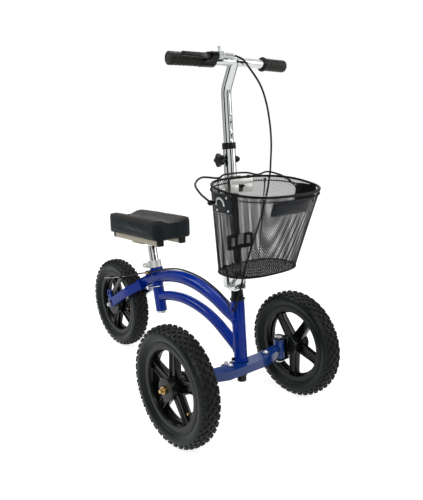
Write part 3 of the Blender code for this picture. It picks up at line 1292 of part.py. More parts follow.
def star_nut():
    outline = [
        (0, COLUMN_BORE + SLIDE_FIT),
        (KNOB_SHANK_RADIUS, COLUMN_BORE + SLIDE_FIT),
        (KNOB_SHANK_RADIUS, STAR_NUT_IN),
        (STAR_NUT_RADIUS, STAR_NUT_IN),
        (STAR_NUT_RADIUS, STAR_NUT_SHOULDER),
        (STAR_NUT_RADIUS * 0.7, STAR_NUT_OUT),
        (0, STAR_NUT_OUT),
    ]
    add_column_piece("star_nut", turned_x(outline, 12, centre=(0, 0, KNOB_HEIGHT)), BLACK_PLASTIC)


def bar_half(side):
    """The place of one half of the bar: its X runs through the bar's middle along that half."""
    return Matrix.Translation((0, BAR_Y, BAR_HEIGHT)) @ Matrix.Rotation(side * BAR_SWEEP, 4, "Z")


def swept_bar(half_length):
    ends = [bar_half(side) @ Vector((side * half_length, 0, 0)) for side in (-1, 1)]
    return [ends[0], Vector((0, BAR_Y, BAR_HEIGHT)), ends[1]]


def handlebar():
    line = [Vector((0, 0, STEM_LOW)), Vector((0, 0, STEM_BEND))]
    turns = 5
    for i in range(1, turns + 1):
        angle = STEM_BEND_ANGLE * i / turns
        line.append(Vector((
            0, -STEM_BEND_RADIUS * (1 - math.cos(angle)), STEM_BEND + STEM_BEND_RADIUS * math.sin(angle)
        )))
    bar = Vector((0, BAR_Y, BAR_HEIGHT))
    line.append(bar)
    piece = add_column_piece("handlebar", tube(line, STEM_RADIUS, 16), CHROME)
    weld(piece, lifted(tube(swept_bar(BAR_HALF_LENGTH), BAR_RADIUS, 16)))
    low = Vector((0, 0, STEM_LOW - 0.01))
    cut(piece, lifted(tube([low, *line[1:]], STEM_BORE, 8)))
    cut(piece, lifted(tube(swept_bar(BAR_HALF_LENGTH + 0.01), BAR_BORE, 8)))
    for i in range(STEM_HOLES):
        height = COLUMN_HIGH + STEM_HOLE_START + STEM_HOLE_PITCH * i
        cut(piece, lifted(rod((0, -0.03, height), (0, 0.03, height), STEM_HOLE_RADIUS, 10)))


def grip(name, side, inner):
    end = BAR_HALF_LENGTH + GAP
    hole = BAR_RADIUS + GAP
    outline = [
        (0, GRIP_END),
        (GRIP_RADIUS - 0.002, GRIP_END),
        (GRIP_RADIUS, GRIP_END - 0.003),
        (GRIP_RADIUS, inner + 0.012),
        (GRIP_RADIUS + (GRIP_FLARE if side > 0 else 0), inner + 0.003),
        (GRIP_RADIUS + (GRIP_FLARE if side > 0 else 0), inner),
        (hole, inner),
        (hole, end),
        (0, end),
    ]
    shape = turned_x([(radius, side * x) for radius, x in outline], 20)
    add_column_piece(name, moved(shape, bar_half(side)), GRIP_RUBBER)


def on_bar(shape):
    """A shape given along the bar's right half, placed over the fold pin."""
    return moved(shape, bar_half(-1))


def brake_perch():
    band = on_bar(rod((PERCH_BAND[0], 0, 0), (PERCH_BAND[1], 0, 0), PERCH_BAND_RADIUS, 20))
    piece = add_column_piece("brake_perch", band, BLACK_PAINT)
    body = link((0, 0), PERCH_BAND_RADIUS - 0.001, (CABLE_Y, CABLE_HEIGHT), PERCH_NOSE_RADIUS)
    weld(piece, lifted(on_bar(profile_x(body, *PERCH_BODY))))
    for side in (1, -1):
        near = LEVER_HEIGHT + side * (LEVER_HALF_HEIGHT + GAP)
        far = near + side * PERCH_EAR
        ear = link((LEVER_PIVOT_X, -0.008), 0.009, (LEVER_PIVOT_X, LEVER_PIVOT_Y), PERCH_EAR_RADIUS)
        weld(piece, lifted(on_bar(plan(ear, min(near, far), max(near, far)))))
    reach = LEVER_HALF_HEIGHT + PERCH_EAR
    foot = (LEVER_PIVOT_X, LEVER_PIVOT_Y, LEVER_HEIGHT - reach)
    top = (LEVER_PIVOT_X, LEVER_PIVOT_Y, LEVER_HEIGHT + reach)
    weld(piece, lifted(on_bar(rod(foot, top, LEVER_PIN_RADIUS))))
    cut(piece, lifted(on_bar(rod((-0.12, 0, 0), (-0.04, 0, 0), BAR_RADIUS + GAP, 20))))


def brake_lever():
    low = LEVER_HEIGHT - LEVER_HALF_HEIGHT
    high = LEVER_HEIGHT + LEVER_HALF_HEIGHT
    pivot = (LEVER_PIVOT_X, LEVER_PIVOT_Y)
    root = plan(link(pivot, LEVER_HUB_RADIUS, LEVER_KNEE, LEVER_BLADE_RADIUS), low, high)
    place = bar_half(-1) @ Vector((LEVER_PIVOT_X, LEVER_PIVOT_Y, LEVER_HEIGHT))
    piece = add_column_piece("brake_lever", on_bar(root), BLACK_PAINT, place)
    blade = link(LEVER_KNEE, LEVER_BLADE_RADIUS, LEVER_TIP, LEVER_TIP_RADIUS)
    weld(piece, lifted(on_bar(plan(blade, low + 0.0004, high - 0.0004))))
    cut(piece, lifted(on_bar(rod((*pivot, low - 0.01), (*pivot, high + 0.01), LEVER_PIN_RADIUS + GAP))))


def cable_adjuster():
    low = (BLOCK_IN, CABLE_Y - BLOCK_HALF_DEPTH, CABLE_HEIGHT - BLOCK_HALF_HEIGHT)
    high = (BLOCK_OUT, CABLE_Y + BLOCK_HALF_DEPTH, CABLE_HEIGHT + BLOCK_HALF_HEIGHT)
    piece = add_column_piece("cable_adjuster", on_bar(block(low, high)), STEEL)
    start = (BLOCK_OUT - 0.001, CABLE_Y, CABLE_HEIGHT)
    end = (ADJUSTER_END, CABLE_Y, CABLE_HEIGHT)
    weld(piece, lifted(on_bar(rod(start, end, ADJUSTER_RADIUS))))
    slot_low = (BLOCK_OUT + 0.004, CABLE_Y - 0.010, CABLE_HEIGHT - ADJUSTER_SLOT_HALF_WIDTH)
    slot_high = (ADJUSTER_END - 0.004, CABLE_Y - 0.002, CABLE_HEIGHT + ADJUSTER_SLOT_HALF_WIDTH)
    cut(piece, lifted(on_bar(block(slot_low, slot_high))))
    hole_low = (BUTTON_X, CABLE_Y, CABLE_HEIGHT + BUTTON_HOLE_LOW)
    hole_high = (BUTTON_X, CABLE_Y, CABLE_HEIGHT + 0.02)
    cut(piece, lifted(on_bar(rod(hole_low, hole_high, BUTTON_RADIUS + GAP))))


def parking_button():
    outline = [
        (0, BUTTON_LOW),
        (BUTTON_RADIUS, BUTTON_LOW),
        (BUTTON_RADIUS, BUTTON_HIGH - BUTTON_HEAD_LENGTH),
        (BUTTON_HEAD_RADIUS, BUTTON_HIGH - BUTTON_HEAD_LENGTH),
        (BUTTON_HEAD_RADIUS, BUTTON_HIGH),
        (0, BUTTON_HIGH),
    ]
    place = Matrix.Translation((BUTTON_X, CABLE_Y, CABLE_HEIGHT))
    pivot = bar_half(-1) @ Vector((BUTTON_X, CABLE_Y, CABLE_HEIGHT))
    add_column_piece("parking_button", on_bar(moved(turned(outline, 12), place)), STEEL, pivot)


# Basket and its brackets, in world coordinates


def basket_level(share):
    """Half width, back y and front y of the basket's wall, from its floor at 0 to its rim at 1."""
    half_width = BASKET_FLOOR_HALF_WIDTH + (BASKET_RIM_HALF_WIDTH - BASKET_FLOOR_HALF_WIDTH) * share
    back = BASKET_FLOOR_BACK + (BASKET_RIM_BACK - BASKET_FLOOR_BACK) * share
    front = BASKET_FLOOR_FRONT + (BASKET_RIM_FRONT - BASKET_FLOOR_FRONT) * share
    return half_width, back, front


def rim_z(y):
    slope = (BASKET_RIM_BACK_Z - BASKET_RIM_FRONT_Z) / (BASKET_RIM_BACK - BASKET_RIM_FRONT)
    return BASKET_RIM_BACK_Z + (y - BASKET_RIM_BACK) * slope


def basket_ring(share, inset, lift):
    half_width, back, front = basket_level(share)
    middle = (back + front) / 2
    depth = (back - front) / 2
    ring = []
    for i in range(BASKET_STEPS):
        angle = math.tau * i / BASKET_STEPS
        c = math.cos(angle)
        s = math.sin(angle)
        x = (half_width - inset) * math.copysign(abs(c) ** (2 / BASKET_POWER), c)
        y = middle + (depth - inset) * math.copysign(abs(s) ** (2 / BASKET_POWER), s)
        z = BASKET_FLOOR_Z + lift + (rim_z(y) - BASKET_FLOOR_Z - lift) * share
        ring.append((x, y, z))
    return ring


def basket():
    rings = [
        basket_ring(0, 0, 0),
        basket_ring(1, 0, 0),
        basket_ring(1, BASKET_WALL, 0),
        basket_ring(0, BASKET_WALL, BASKET_WALL),
    ]
    add_piece("basket", loft(rings), BLACK_MESH)


def wall_x(y, z):
    share = (z - BASKET_FLOOR_Z) / (rim_z(y) - BASKET_FLOOR_Z)
    half_width, back, front = basket_level(share)
    across = abs(y - (back + front) / 2) / ((back - front) / 2)
    return half_width * (1 - across**BASKET_POWER) ** (1 / BASKET_POWER)


def basket_plate(side, word):
    rings = []
    stations = 7
    for i in range(stations + 1):
        y = PLATE_Y[0] + (PLATE_Y[1] - PLATE_Y[0]) * i / stations
        inner = [(side * (wall_x(y, z) + PLATE_CLEARANCE), y, z) for z in PLATE_Z]
        outer = [(side * (wall_x(y, z) + PLATE_CLEARANCE + PLATE_THICKNESS), y, z) for z in reversed(PLATE_Z)]
        rings.append(inner + outer)
    piece = add_piece(f"{word}_basket_plate", loft(rings), BLACK_MESH)
    root = wall_x(BAIL_Y, BAIL_Z) + 0.0015
    head = BAIL_EYE_X + BAIL_WIRE_RADIUS + GAP
    start = (side * root, BAIL_Y, BAIL_Z)
    weld(piece, rod(start, (side * (head + 0.001), BAIL_Y, BAIL_Z), BAIL_STUD_RADIUS))
    weld(piece, rod((side * head, BAIL_Y, BAIL_Z), (side * (head + 0.0025), BAIL_Y, BAIL_Z), BAIL_STUD_HEAD_RADIUS))


def basket_handle():
    """The wire bail, turned up and back from its pivots."""
    back = Vector((0, math.cos(BAIL_TILT), math.sin(BAIL_TILT)))
    pivot = Vector((0, BAIL_Y, BAIL_Z))
    half = [pivot + Vector((x, 0, 0)) + back * reach for x, reach in BAIL_LINE]
    line = half + [Vector((-point.x, point.y, point.z)) for point in reversed(half)]
    piece = add_piece("basket_handle", tube(smooth(line, 2), BAIL_WIRE_RADIUS, 6), BLACK_MESH, pivot=pivot)
    for side in (1, -1):
        outline = sleeve(BAIL_STUD_RADIUS + GAP, BAIL_EYE_RADIUS, -BAIL_WIRE_RADIUS, BAIL_WIRE_RADIUS)
        eye = turned_x(outline, 12, centre=(side * BAIL_EYE_X, BAIL_Y, BAIL_Z))
        weld(piece, eye)
        ends = [(side * (BAIL_EYE_X + reach), BAIL_Y, BAIL_Z) for reach in (-0.01, 0.01)]
        cut(piece, rod(*ends, BAIL_STUD_RADIUS + GAP, 12))


def bracket(name, finish, half_width, plate_rise, clamp_rise):
    """A plate behind the basket on a clamp round the column, from heights over the axles."""
    low, high = [WHEEL_RADIUS + rise for rise in plate_rise]
    clamp_z = [WHEEL_RADIUS + rise for rise in clamp_rise]
    share = (high - BASKET_FLOOR_Z) / (BASKET_RIM_BACK_Z - BASKET_FLOOR_Z)
    front = basket_level(share)[1] + 2 * GAP
    plate = block((-half_width, front, low), (half_width, front + BRACKET_THICKNESS, high))
    piece = add_piece(name, plate, finish)
    foot = RAKED.translation.z
    ends = [(z - foot) / math.cos(RAKE) for z in clamp_z]
    weld(piece, moved(turned(disc(BRACKET_CLAMP_RADIUS, *ends)), RAKED))
    axis_y = (RAKED @ Vector((0, 0, sum(ends) / 2))).y
    weld(piece, block((-0.011, front + 0.001, clamp_z[0] + 0.002), (0.011, axis_y, clamp_z[1] - 0.002)))
    cut(piece, moved(turned(disc(COLUMN_RADIUS + GAP, ends[0] - 0.02, ends[1] + 0.02)), RAKED))


# Brake cable


def front_cable():
    leave = [bar_half(-1) @ Vector((ADJUSTER_END + x, CABLE_Y, CABLE_HEIGHT)) for x in (GAP, 0.008)]
    start, ahead = [RAKED @ (point + Vector((0, 0, FOLD_HEIGHT))) for point in leave]
    entry = (GUIDE_X, GUIDE_Y[0] - 0.003, GUIDE_Z)
    end = (GUIDE_X, sum(GUIDE_Y) / 2 - GAP, GUIDE_Z)
    route = [start] + smooth([ahead, *over_axles(FRONT_CABLE_LINE), entry], 2) + [Vector(end)]
    add_piece("front_cable", tube(route, CABLE_RADIUS, 6), BLACK_PLASTIC)


def rear_cable():
    start = Vector((GUIDE_X, sum(GUIDE_Y) / 2 + GAP, GUIDE_Z))
    leave = (GUIDE_X, GUIDE_Y[1] + 0.002, GUIDE_Z)
    head = REAR_STOP_Y - REAR_ADJUSTER_HEAD_LENGTH
    enter = adjuster_point(head - 0.004)
    stop = adjuster_point(head + 0.004)
    route = [start] + smooth([leave, *over_axles(REAR_CABLE_LINE), enter], 2) + [stop]
    piece = add_piece("rear_cable", tube(route, CABLE_RADIUS, 6), BLACK_PLASTIC)
    anchor, heading = wire_at_anchor()
    wire = [adjuster_point(head + 0.003), adjuster_point(REAR_ADJUSTER_LENGTH), anchor + heading * 0.010, *over_axles([WIRE_TAIL])]
    weld(piece, tube(wire, WIRE_RADIUS, 6))


head_tube()
front_beam()
upper_rail()
lower_rail()
seat_tube()
for hand, word in ((1, "left"), (-1, "right")):
    rear_arm(hand, word)
    knuckle(hand, word)
    king_pin(hand, word)
    axle_nut(hand, word)
    tie_rod(hand, word)
    basket_plate(hand, word)
headset()
steering_shaft()
pitman_arm()
wheels()
rear_axle()
brake_backplate()
brake_arm()
seat_clamp()
seat_lever()
seat_post()
seat_tube_bolt()
rear_cable_adjuster()
pad_frame()
knee_pad()
fold_fork()
fold_pin()
fold_lever()
fold_tongue()
column_tube()
column_collar()
star_knob()
star_nut()
handlebar()
grip("left_grip", 1, LEFT_GRIP_INNER)
grip("right_grip", -1, RIGHT_GRIP_INNER)
brake_perch()
brake_lever()
cable_adjuster()
parking_button()
basket()
basket_handle()
bracket("basket_bracket", CHROME, BRACKET_HALF_WIDTH, BRACKET_RISE, BRACKET_CLAMP_RISE)
bracket("lower_basket_bracket", BLACK_PAINT, LOWER_BRACKET_HALF_WIDTH, LOWER_BRACKET_RISE, LOWER_BRACKET_CLAMP_RISE)
front_cable()
rear_cable()
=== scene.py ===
import json
import math

import bmesh
import bpy
import numpy as np
from mathutils import Matrix, Vector
from mathutils.bvhtree import BVHTree

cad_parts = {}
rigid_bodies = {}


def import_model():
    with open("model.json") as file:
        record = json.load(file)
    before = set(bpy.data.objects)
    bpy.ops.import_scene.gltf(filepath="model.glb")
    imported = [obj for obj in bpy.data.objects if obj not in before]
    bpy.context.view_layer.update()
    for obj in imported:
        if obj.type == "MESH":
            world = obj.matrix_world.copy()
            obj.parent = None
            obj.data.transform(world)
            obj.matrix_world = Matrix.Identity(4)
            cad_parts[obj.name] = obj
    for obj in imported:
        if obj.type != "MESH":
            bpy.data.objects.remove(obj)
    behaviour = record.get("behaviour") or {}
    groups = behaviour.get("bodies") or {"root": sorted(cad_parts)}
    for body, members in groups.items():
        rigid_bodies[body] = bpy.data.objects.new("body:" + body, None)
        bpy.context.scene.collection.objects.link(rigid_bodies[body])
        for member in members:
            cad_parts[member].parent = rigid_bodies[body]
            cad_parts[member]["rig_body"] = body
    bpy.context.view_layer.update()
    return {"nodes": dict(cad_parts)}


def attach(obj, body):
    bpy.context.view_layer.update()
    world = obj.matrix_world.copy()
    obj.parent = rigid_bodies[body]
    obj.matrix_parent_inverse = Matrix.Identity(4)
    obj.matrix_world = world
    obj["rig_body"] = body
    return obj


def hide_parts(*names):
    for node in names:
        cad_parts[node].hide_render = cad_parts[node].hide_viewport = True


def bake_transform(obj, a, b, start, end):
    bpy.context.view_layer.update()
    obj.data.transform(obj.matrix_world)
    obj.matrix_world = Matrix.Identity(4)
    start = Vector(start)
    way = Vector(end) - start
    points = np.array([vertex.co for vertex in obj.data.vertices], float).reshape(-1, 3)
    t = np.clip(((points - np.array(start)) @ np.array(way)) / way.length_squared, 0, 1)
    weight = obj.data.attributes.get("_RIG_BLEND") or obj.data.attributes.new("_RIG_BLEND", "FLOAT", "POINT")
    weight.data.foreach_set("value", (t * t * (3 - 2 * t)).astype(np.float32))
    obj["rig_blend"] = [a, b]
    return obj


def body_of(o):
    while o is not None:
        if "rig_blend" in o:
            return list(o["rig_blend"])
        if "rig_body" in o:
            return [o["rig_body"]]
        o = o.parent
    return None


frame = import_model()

print("frame loaded:", len(frame["nodes"]), "nodes")


# Surfaces. A shape is its points and a list of face tables, and every shape is closed.


def unit(vectors):
    # each vector divided by its length
    return vectors / np.maximum(np.linalg.norm(vectors, axis=-1, keepdims=True), 1e-12)


def leaning(foot, degrees):
    # a frame that starts at foot, with its Z axis turned back from upright by this angle
    return np.array(Matrix.Translation(foot) @ Matrix.Rotation(math.radians(-degrees), 4, "X"))


def xyz(x, y, z):
    # the three coordinates side by side, each widened to the shape of the others
    return np.stack(np.broadcast_arrays(x, y, z), axis=-1)


def place(shape, matrix):
    # every point p goes to turn p + shift, the two parts of the matrix
    points, faces = shape
    return points @ matrix[:3, :3].T + matrix[:3, 3], faces


def gridFaces(rows, columns, closeRows, closeColumns):
    # quads between neighbours, where a closed direction joins its last line to its first
    r = np.arange(rows if closeRows else rows - 1)[:, None]
    c = np.arange(columns if closeColumns else columns - 1)[None, :]
    nextRow, nextColumn = (r + 1) % rows, (c + 1) % columns
    corners = (r * columns + c, r * columns + nextColumn, nextRow * columns + nextColumn, nextRow * columns + c)
    return np.stack(np.broadcast_arrays(*corners), axis=-1).reshape(-1, 4)


def outward(shape):
    # the sum of the corner products of all faces is six times the volume, and is negative inside out
    points, faces = shape
    volume = 0.0
    for table in faces:
        corners = points[table]
        for i in range(1, table.shape[1] - 1):
            volume += np.einsum("ij,ij->", corners[:, 0], np.cross(corners[:, i], corners[:, i + 1]))
    return (points, [table[:, ::-1] for table in faces]) if volume < 0 else shape


def grid(points, closeRows=False, closeColumns=True, caps=False):
    # the skin over rows and columns of points, with a flat face over its first and last row if it has caps
    rows, columns = points.shape[:2]
    faces = [gridFaces(rows, columns, closeRows, closeColumns)]
    if caps:
        ring = np.arange(columns)
        faces += [ring[None, ::-1], ring[None] + (rows - 1) * columns]
    return outward((points.reshape(-1, 3), faces))


def bundle(points):
    # many closed strands at once: strand, station, side, xyz
    strands, stations, sides = points.shape[:3]
    table = gridFaces(stations, sides, False, True)
    starts = np.arange(strands)[:, None, None] * (stations * sides)
    ring = np.arange(sides)
    ends = np.concatenate((ring[None, None, ::-1] + starts, ring[None, None] + (stations - 1) * sides + starts))
    one = outward((points[0].reshape(-1, 3), [table, ring[None, ::-1], ring[None] + (stations - 1) * sides]))
    flip = one[1][0][0, 0] != table[0, 0] or one[1][0][0, 1] != table[0, 1]
    tables = [(table[None] + starts).reshape(-1, 4), ends.reshape(-1, sides)]
    return points.reshape(-1, 3), [t[:, ::-1] for t in tables] if flip else tables


def joined(*shapes):
    # one shape of several, where each one's face tables count on from the points before it
    points, faces, start = [], [], 0
    for shapePoints, shapeFaces in shapes:
        points.append(shapePoints)
        faces += [table + start for table in shapeFaces]
        start += len(shapePoints)
    return np.concatenate(points), faces


def filleted(corners, radius, steps=4, closed=True):
    # each corner gives way to a parabola that starts and ends this far along its two sides
    p = np.asarray(corners, float)
    before, after = np.roll(p, 1, 0) - p, np.roll(p, -1, 0) - p
    short = np.minimum(np.linalg.norm(before, axis=1), np.linalg.norm(after, axis=1))
    cut = np.minimum(radius, 0.45 * short)[:, None, None]
    if not closed:
        cut[[0, -1]] = 0
    t = np.linspace(0, 1, steps)[None, :, None]
    rounded = p[:, None] + unit(before)[:, None] * cut * (1 - t) ** 2 + unit(after)[:, None] * cut * t**2
    return rounded.reshape(-1, p.shape[1])


def smoothPath(points, cuts=6):
    # a cubic between each two points, whose slope at a point is half the step between its neighbours
    p = np.asarray(points, float)
    i = np.arange(len(p) - 1)
    a, b, c, d = p[np.maximum(i - 1, 0)], p[i], p[i + 1], p[np.minimum(i + 2, len(p) - 1)]
    t = (np.arange(cuts) / cuts)[None, :, None]
    a, b, c, d = (q[:, None] for q in (a, b, c, d))
    route = b + ((c - a) * t + (2 * a - 5 * b + 4 * c - d) * t**2 + (3 * b - a - 3 * c + d) * t**3) / 2
    return np.vstack((route.reshape(-1, p.shape[1]), p[-1:]))


def lathe(profile, steps=48, closed=False):
    # every (radius, height) goes to (radius cos a, radius sin a, height) for the angles a of one turn
    profile = np.asarray(profile, float)
    a = np.linspace(0, 2 * np.pi, steps, endpoint=False)
    r, h = profile[:, :1], profile[:, 1:]
    return grid(xyz(r * np.cos(a), r * np.sin(a), h), closeRows=closed)


alongX = np.eye(4)[[2, 0, 1, 3]]  # (u, v) to (y, z), height to x
alongY = np.eye(4)[[0, 2, 1, 3]]  # (u, v) to (x, z), height to y


def shift(x, y, z):
    # a move by (x, y, z)
    return np.array(Matrix.Translation((x, y, z)))


def latheX(profile, centre=(0, 0, 0), steps=48, closed=False):
    # the lathe about the X line through centre, where a height is a distance along X
    return outward(place(lathe(profile, steps, closed), shift(*centre) @ alongX))


def circle(radius, sides=24):
    # (radius cos a, radius sin a) for the angles a of one turn
    a = np.linspace(0, 2 * np.pi, sides, endpoint=False)
    return radius * np.stack((np.cos(a), np.sin(a)), axis=-1)


def frames(path, side, closed=False):
    # along, across and up at each station, where across is the side direction made square to the path
    run = np.roll(path, -1, 0) - np.roll(path, 1, 0) if closed else np.gradient(path, axis=0)
    run = unit(run)
    side = np.asarray(side, float)
    across = unit(side - (run @ side)[:, None] * run)
    return run, across, np.cross(run, across)


def sweep(path, section, side=(1, 0, 0), closed=False):
    # the point at (u, v) of a station's section is path + u across + v up
    path = np.asarray(path, float)
    _, across, up = frames(path, side, closed)
    section = np.broadcast_to(section, (len(path), *np.shape(section)[-2:]))
    points = path[:, None] + across[:, None] * section[..., :1] + up[:, None] * section[..., 1:]
    return grid(points, closeRows=closed, caps=not closed)


def bestSide(path):
    # of 60 fixed directions, the one that the path runs least along
    i = np.arange(60) + 0.5
    turn, height = np.pi * (1 + 5**0.5) * i, 1 - 2 * i / 60
    flat = np.sqrt(1 - height**2)
    choices = np.stack((flat * np.cos(turn), flat * np.sin(turn), height), axis=-1)
    return choices[np.argmin(np.abs(unit(np.gradient(path, axis=0)) @ choices.T).max(axis=0))]


def wire(points, radius, cuts=6, sides=12):
    # a round section carried along a smooth path, or along the points themselves with no cuts
    path = smoothPath(points, cuts) if cuts else np.asarray(points, float)
    return sweep(path, circle(radius, sides), bestSide(path))


def inset(outline, distance):
    # each corner moves this far in, square to the line between its neighbours
    run = unit(np.roll(outline, -1, 0) - np.roll(outline, 1, 0))
    x, y = outline.T
    turn = np.sign(np.sum(x * np.roll(y, -1) - y * np.roll(x, -1)))
    return outline + distance * turn * np.stack((-run[:, 1], run[:, 0]), axis=-1)


def prism(outline, low, high, rim=0.0006):
    # the outline given a height, with its two rims rounded off
    low, high = min(low, high), max(low, high)
    outline = np.asarray(outline, float)
    rings = [(rim, low), (0.3 * rim, low + 0.3 * rim), (0, low + rim)]
    rings += [(0, high - rim), (0.3 * rim, high - 0.3 * rim), (rim, high)]
    rows = [np.column_stack((inset(outline, d), np.full(len(outline), h))) for d, h in rings]
    return grid(np.stack(rows), caps=True)


def linkOutline(start, startRadius, end, endRadius, steps=16):
    # two discs and the straight sides that join them
    start, end = np.asarray(start, float), np.asarray(end, float)
    line = end - start
    lineTurn = math.atan2(line[1], line[0])
    spread = math.acos((startRadius - endRadius) / np.linalg.norm(line))
    a = lineTurn + np.linspace(-spread, spread, steps)
    b = lineTurn + np.linspace(spread, 2 * math.pi - spread, steps)
    endArc = end + endRadius * np.stack((np.cos(a), np.sin(a)), axis=-1)
    startArc = start + startRadius * np.stack((np.cos(b), np.sin(b)), axis=-1)
    return np.vstack((endArc, startArc))


def boxOutline(halfU, halfV, radius, steps=5):
    # a rectangle of these half sizes with rounded corners
    return filleted([(halfU, halfV), (-halfU, halfV), (-halfU, -halfV), (halfU, -halfV)], radius, steps)


def aimed(start, direction):
    # a frame that starts here, with its Z axis along the direction
    return np.array(Matrix.Translation(start) @ Vector(direction).to_track_quat("Z", "Y").to_matrix().to_4x4())


def bar(start, end, radius, sides=24, rim=0.0005):
    # a round rod between two points, with rounded rims
    start, end = np.asarray(start, float), np.asarray(end, float)
    length = np.linalg.norm(end - start)
    profile = filleted([(0, 0), (radius, 0), (radius, length), (0, length)], rim, 4, closed=False)
    return outward(place(lathe(profile, sides), aimed(start, end - start)))


# Pieces


def linked(name, data):
    # a new object with this data, put into the scene
    made = bpy.data.objects.new(name, data)
    bpy.context.scene.collection.objects.link(made)
    return made


def cleaned(mesh, work):
    # the mesh after this work on its editable copy
    shape = bmesh.new()
    shape.from_mesh(mesh)
    work(shape)
    shape.to_mesh(mesh)
    shape.free()
    return mesh


def meshFrom(name, shape, merge=1e-7):
    # a mesh of the shape's faces, where points closer than merge become one
    points, faces = shape
    sizes = np.concatenate([np.full(len(table), table.shape[1]) for table in faces])
    mesh = bpy.data.meshes.new(name)
    mesh.vertices.add(len(points))
    mesh.vertices.foreach_set("co", points.astype(np.float32).ravel())
    mesh.loops.add(int(sizes.sum()))
    mesh.loops.foreach_set("vertex_index", np.concatenate([table.ravel() for table in faces]).astype(np.int32))
    mesh.polygons.add(len(sizes))
    mesh.polygons.foreach_set("loop_start", np.concatenate(([0], np.cumsum(sizes)[:-1])).astype(np.int32))
    mesh.update(calc_edges=True)
    cleaned(mesh, lambda work: bmesh.ops.remove_doubles(work, verts=work.verts, dist=merge))
    mesh.validate()
    return mesh


def surfaced(name, shape, finish, body, node=None, angle=40):
    # a piece with this finish, smooth up to this angle between faces, that rides a body and stands for a node
    mesh = shape if isinstance(shape, bpy.types.Mesh) else meshFrom(name, shape)
    mesh.materials.clear()
    mesh.materials.append(finishes[finish])
    mesh.shade_smooth()
    mesh.set_sharp_from_angle(angle=math.radians(angle))
    piece = linked(name, mesh)
    if body:
        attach(piece, body)
    if node:
        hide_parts(node)
    return piece


def makePiece(name, shape, finish, body, node=None, angle=40):
    # the same as surfaced
    piece = surfaced(name, shape, finish, body, node, angle)
    return piece


def settled(piece):
    # the piece with its modifiers worked out and dropped
    graph = bpy.context.evaluated_depsgraph_get()
    graph.update()
    mesh = bpy.data.meshes.new_from_object(piece.evaluated_get(graph))
    piece.modifiers.clear()
    piece.data = mesh
    return piece


def bored(piece, *cutters):
    # the piece less each cutter
    tools = [linked(f"{piece.name}Tool{i}", meshFrom("tool", cutter)) for i, cutter in enumerate(cutters)]
    for tool in tools:
        hole = piece.modifiers.new("hole", "BOOLEAN")
        hole.operation, hole.solver, hole.object = "DIFFERENCE", "EXACT", tool
    settled(piece)
    for tool in tools:
        bpy.data.objects.remove(tool)
    return piece


def flattened(work):
    # loose triangles share their corners, and faces within 2 degrees of each other become one
    bmesh.ops.remove_doubles(work, verts=work.verts, dist=1e-6)
    bmesh.ops.dissolve_limit(work, angle_limit=math.radians(2), verts=work.verts, edges=work.edges)


def dress(node, finish, width=0.0006):
    # the CAD solid with flat faces and its edges rounded off by this width
    source = frame["nodes"][node]
    mesh = cleaned(source.data.copy(), flattened)
    piece = surfaced(node + "Dressed", mesh, finish, body_of(source)[0], node)
    if width:
        edge = piece.modifiers.new("edge", "BEVEL")
        edge.width, edge.segments, edge.limit_method = width, 2, "ANGLE"
        edge.angle_limit = math.radians(35)
        edge.use_clamp_overlap = True
    return piece


# Finishes


class Signal:
    # one output of a node, on which arithmetic adds Math nodes
    def __init__(self, finish, socket):
        self.finish, self.socket = finish, socket

    def maths(self, operation, a, b=None):
        # one Math node on these values
        return self.finish.node("ShaderNodeMath", {"operation": operation},
                                {0: a} if b is None else {0: a, 1: b})

    def __add__(self, other):
        return self.maths("ADD", self, other)

    def __mul__(self, other):
        return self.maths("MULTIPLY", self, other)

    def wave(self):
        return self.maths("SINE", self)

    __radd__ = __add__
    __rmul__ = __mul__


